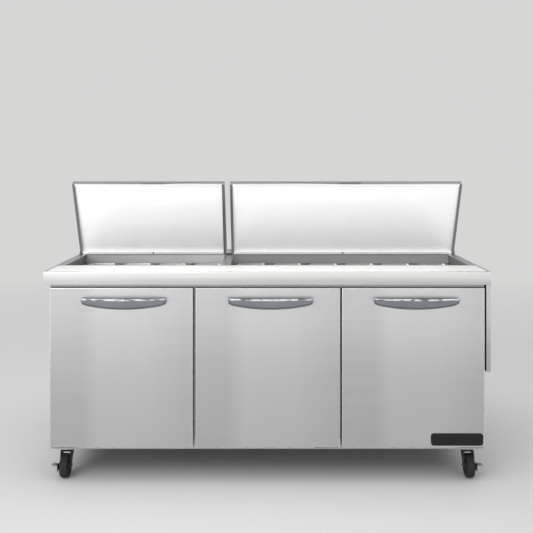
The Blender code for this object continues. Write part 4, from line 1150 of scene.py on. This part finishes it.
# ---------------------------------------------------------------- every piece

rounded_worktop()
underside()
breaker_strips()
food_pans()
for name in DOORS:
    door(name)
    door_inside(name)
    handle(name)
for name in LIDS:
    hood(name)
for corner in CORNERS:
    caster(corner)
wire_shelves()
coil("evaporator_coil", 0.006, 4)
coil("condenser_coil", 0.004, 6)
fan("evaporator_fan", "evaporator_rotor", PLASTIC, "black_plastic")
fan("condenser_fan", "condenser_rotor", ALUMINIUM, "fin_aluminium")
fan_guard()
compressor()
refrigerant_pipes()
condensate_pan()
louvres()
controller()
fastenings()
for node, cad in sorted(frame["nodes"].items()):
    if not cad.hide_render:     # the pieces above replace the rest
        finish, edge = OWN_FINISHES.get(node) or FINISHES[record_slot(node)]
        softened(node, finish, edge)


# ---------------------------------------------------------------- floor, light and camera

BACKDROP = (0.672, 0.672, 0.665)    # what the camera sees beyond the floor
FLOOR_SOLID = 2.2                   # the floor fades into the backdrop between these radii
FLOOR_END = 5.5


def floor():
    """A pale disc that fades into the backdrop."""
    bm = bmesh.new()
    bmesh.ops.create_circle(bm, cap_ends=True, segments=96, radius=FLOOR_END)
    made = Finish("studio_floor")
    shade = made.noise((0.4, 0.4, 0.4), 2.0)
    made.set("Base Color", made.blend(shade, (0.70, 0.702, 0.704), (0.72, 0.722, 0.724)))
    made.set("Roughness", made.span(made.noise((9, 9, 9), 3.0), 0.3, 0.7, 0.55, 0.65))
    where = made.node("TexCoord").outputs["Object"]
    radius = made.node("VectorMath", {0: where}, operation="LENGTH").outputs["Value"]
    made.set("Alpha", made.span(radius, FLOOR_SOLID, FLOOR_END, 1.0, 0.0))
    mesh = bpy.data.meshes.new("floor")
    bm.to_mesh(mesh)
    bm.free()
    mesh.materials.append(made.material)
    plane = bpy.data.objects.new("floor", mesh)
    bpy.context.scene.collection.objects.link(plane)


def softbox(name, place, target, width, height, watts):
    """A rectangular lamp aimed at a target, which the camera doesn't see."""
    data = bpy.data.lights.new(name, "AREA")
    data.shape = "RECTANGLE"
    data.size = width
    data.size_y = height
    data.energy = watts
    lamp = bpy.data.objects.new(name, data)
    lamp.location = place
    lamp.rotation_euler = (Vector(target) - Vector(place)).to_track_quat("-Z", "Y").to_euler()
    lamp.visible_camera = False
    bpy.context.scene.collection.objects.link(lamp)


TENT_FRONT = 1.36
TENT_REAR = 0.52
TENT_SLOT = 0.85        # how dark the slot is


def world():
    """A light tent: bright in front, greyer behind, with a dark slot over the front for chrome to show."""
    made = bpy.data.worlds.new("studio")
    made.use_nodes = True
    nodes = Nodes(made.node_tree)
    smooth = {"interpolation_type": "SMOOTHSTEP"}
    direction = nodes.node("TexCoord").outputs["Generated"]
    x, y, z = nodes.node("SeparateXYZ", {0: direction}).outputs
    tent = nodes.span(y, -0.35, 0.35, TENT_FRONT, TENT_REAR, **smooth)
    side = nodes.span(x, -0.7, 0.7, 1.06, 0.88, **smooth)
    above = nodes.span(z, 0.30, 0.40, 0.0, 1.0, **smooth)
    slot = nodes.math("MULTIPLY", above, nodes.span(z, 0.50, 0.62, 1.0, 0.0, **smooth))
    dark = nodes.math("SUBTRACT", 1.0, nodes.math("MULTIPLY", slot, TENT_SLOT))
    level = nodes.math("MULTIPLY", nodes.math("MULTIPLY", tent, side), dark)
    lit = nodes.node("Background", {"Color": (1.0, 1.0, 0.995, 1), "Strength": level})
    seen = nodes.node("Background", {"Color": (*BACKDROP, 1)})
    camera_ray = nodes.node("LightPath").outputs["Is Camera Ray"]
    mixed = nodes.node("MixShader", {0: camera_ray, 1: lit.outputs[0], 2: seen.outputs[0]})
    nodes.tree.links.new(mixed.outputs[0], nodes.tree.nodes["World Output"].inputs["Surface"])
    bpy.context.scene.world = made


def studio():
    world()
    softbox("key", (-2.4, -3.2, 2.4), (0, 0, 0.8), 2.4, 1.6, 42)
    softbox("overhead", (0.0, -0.2, 3.6), (0, 0, 0.6), 3.4, 1.8, 27)
    bpy.context.scene.view_settings.view_transform = "Standard"


CAMERA_DISTANCE = 2.940      # from the worktop's front edge
CAMERA_HEIGHT = 1.313
LENS = 48.63
SHIFT_Y = -0.195


def camera():
    data = bpy.data.cameras.new("camera")
    data.sensor_width = 36
    data.lens = LENS
    data.shift_y = SHIFT_Y
    view = bpy.data.objects.new("camera", data)
    view.location = (-0.003, WORKTOP[0].y - CAMERA_DISTANCE, CAMERA_HEIGHT)
    view.rotation_euler = (math.radians(90), 0, 0)
    bpy.context.scene.collection.objects.link(view)
    bpy.context.scene.camera = view


floor()
studio()
camera()
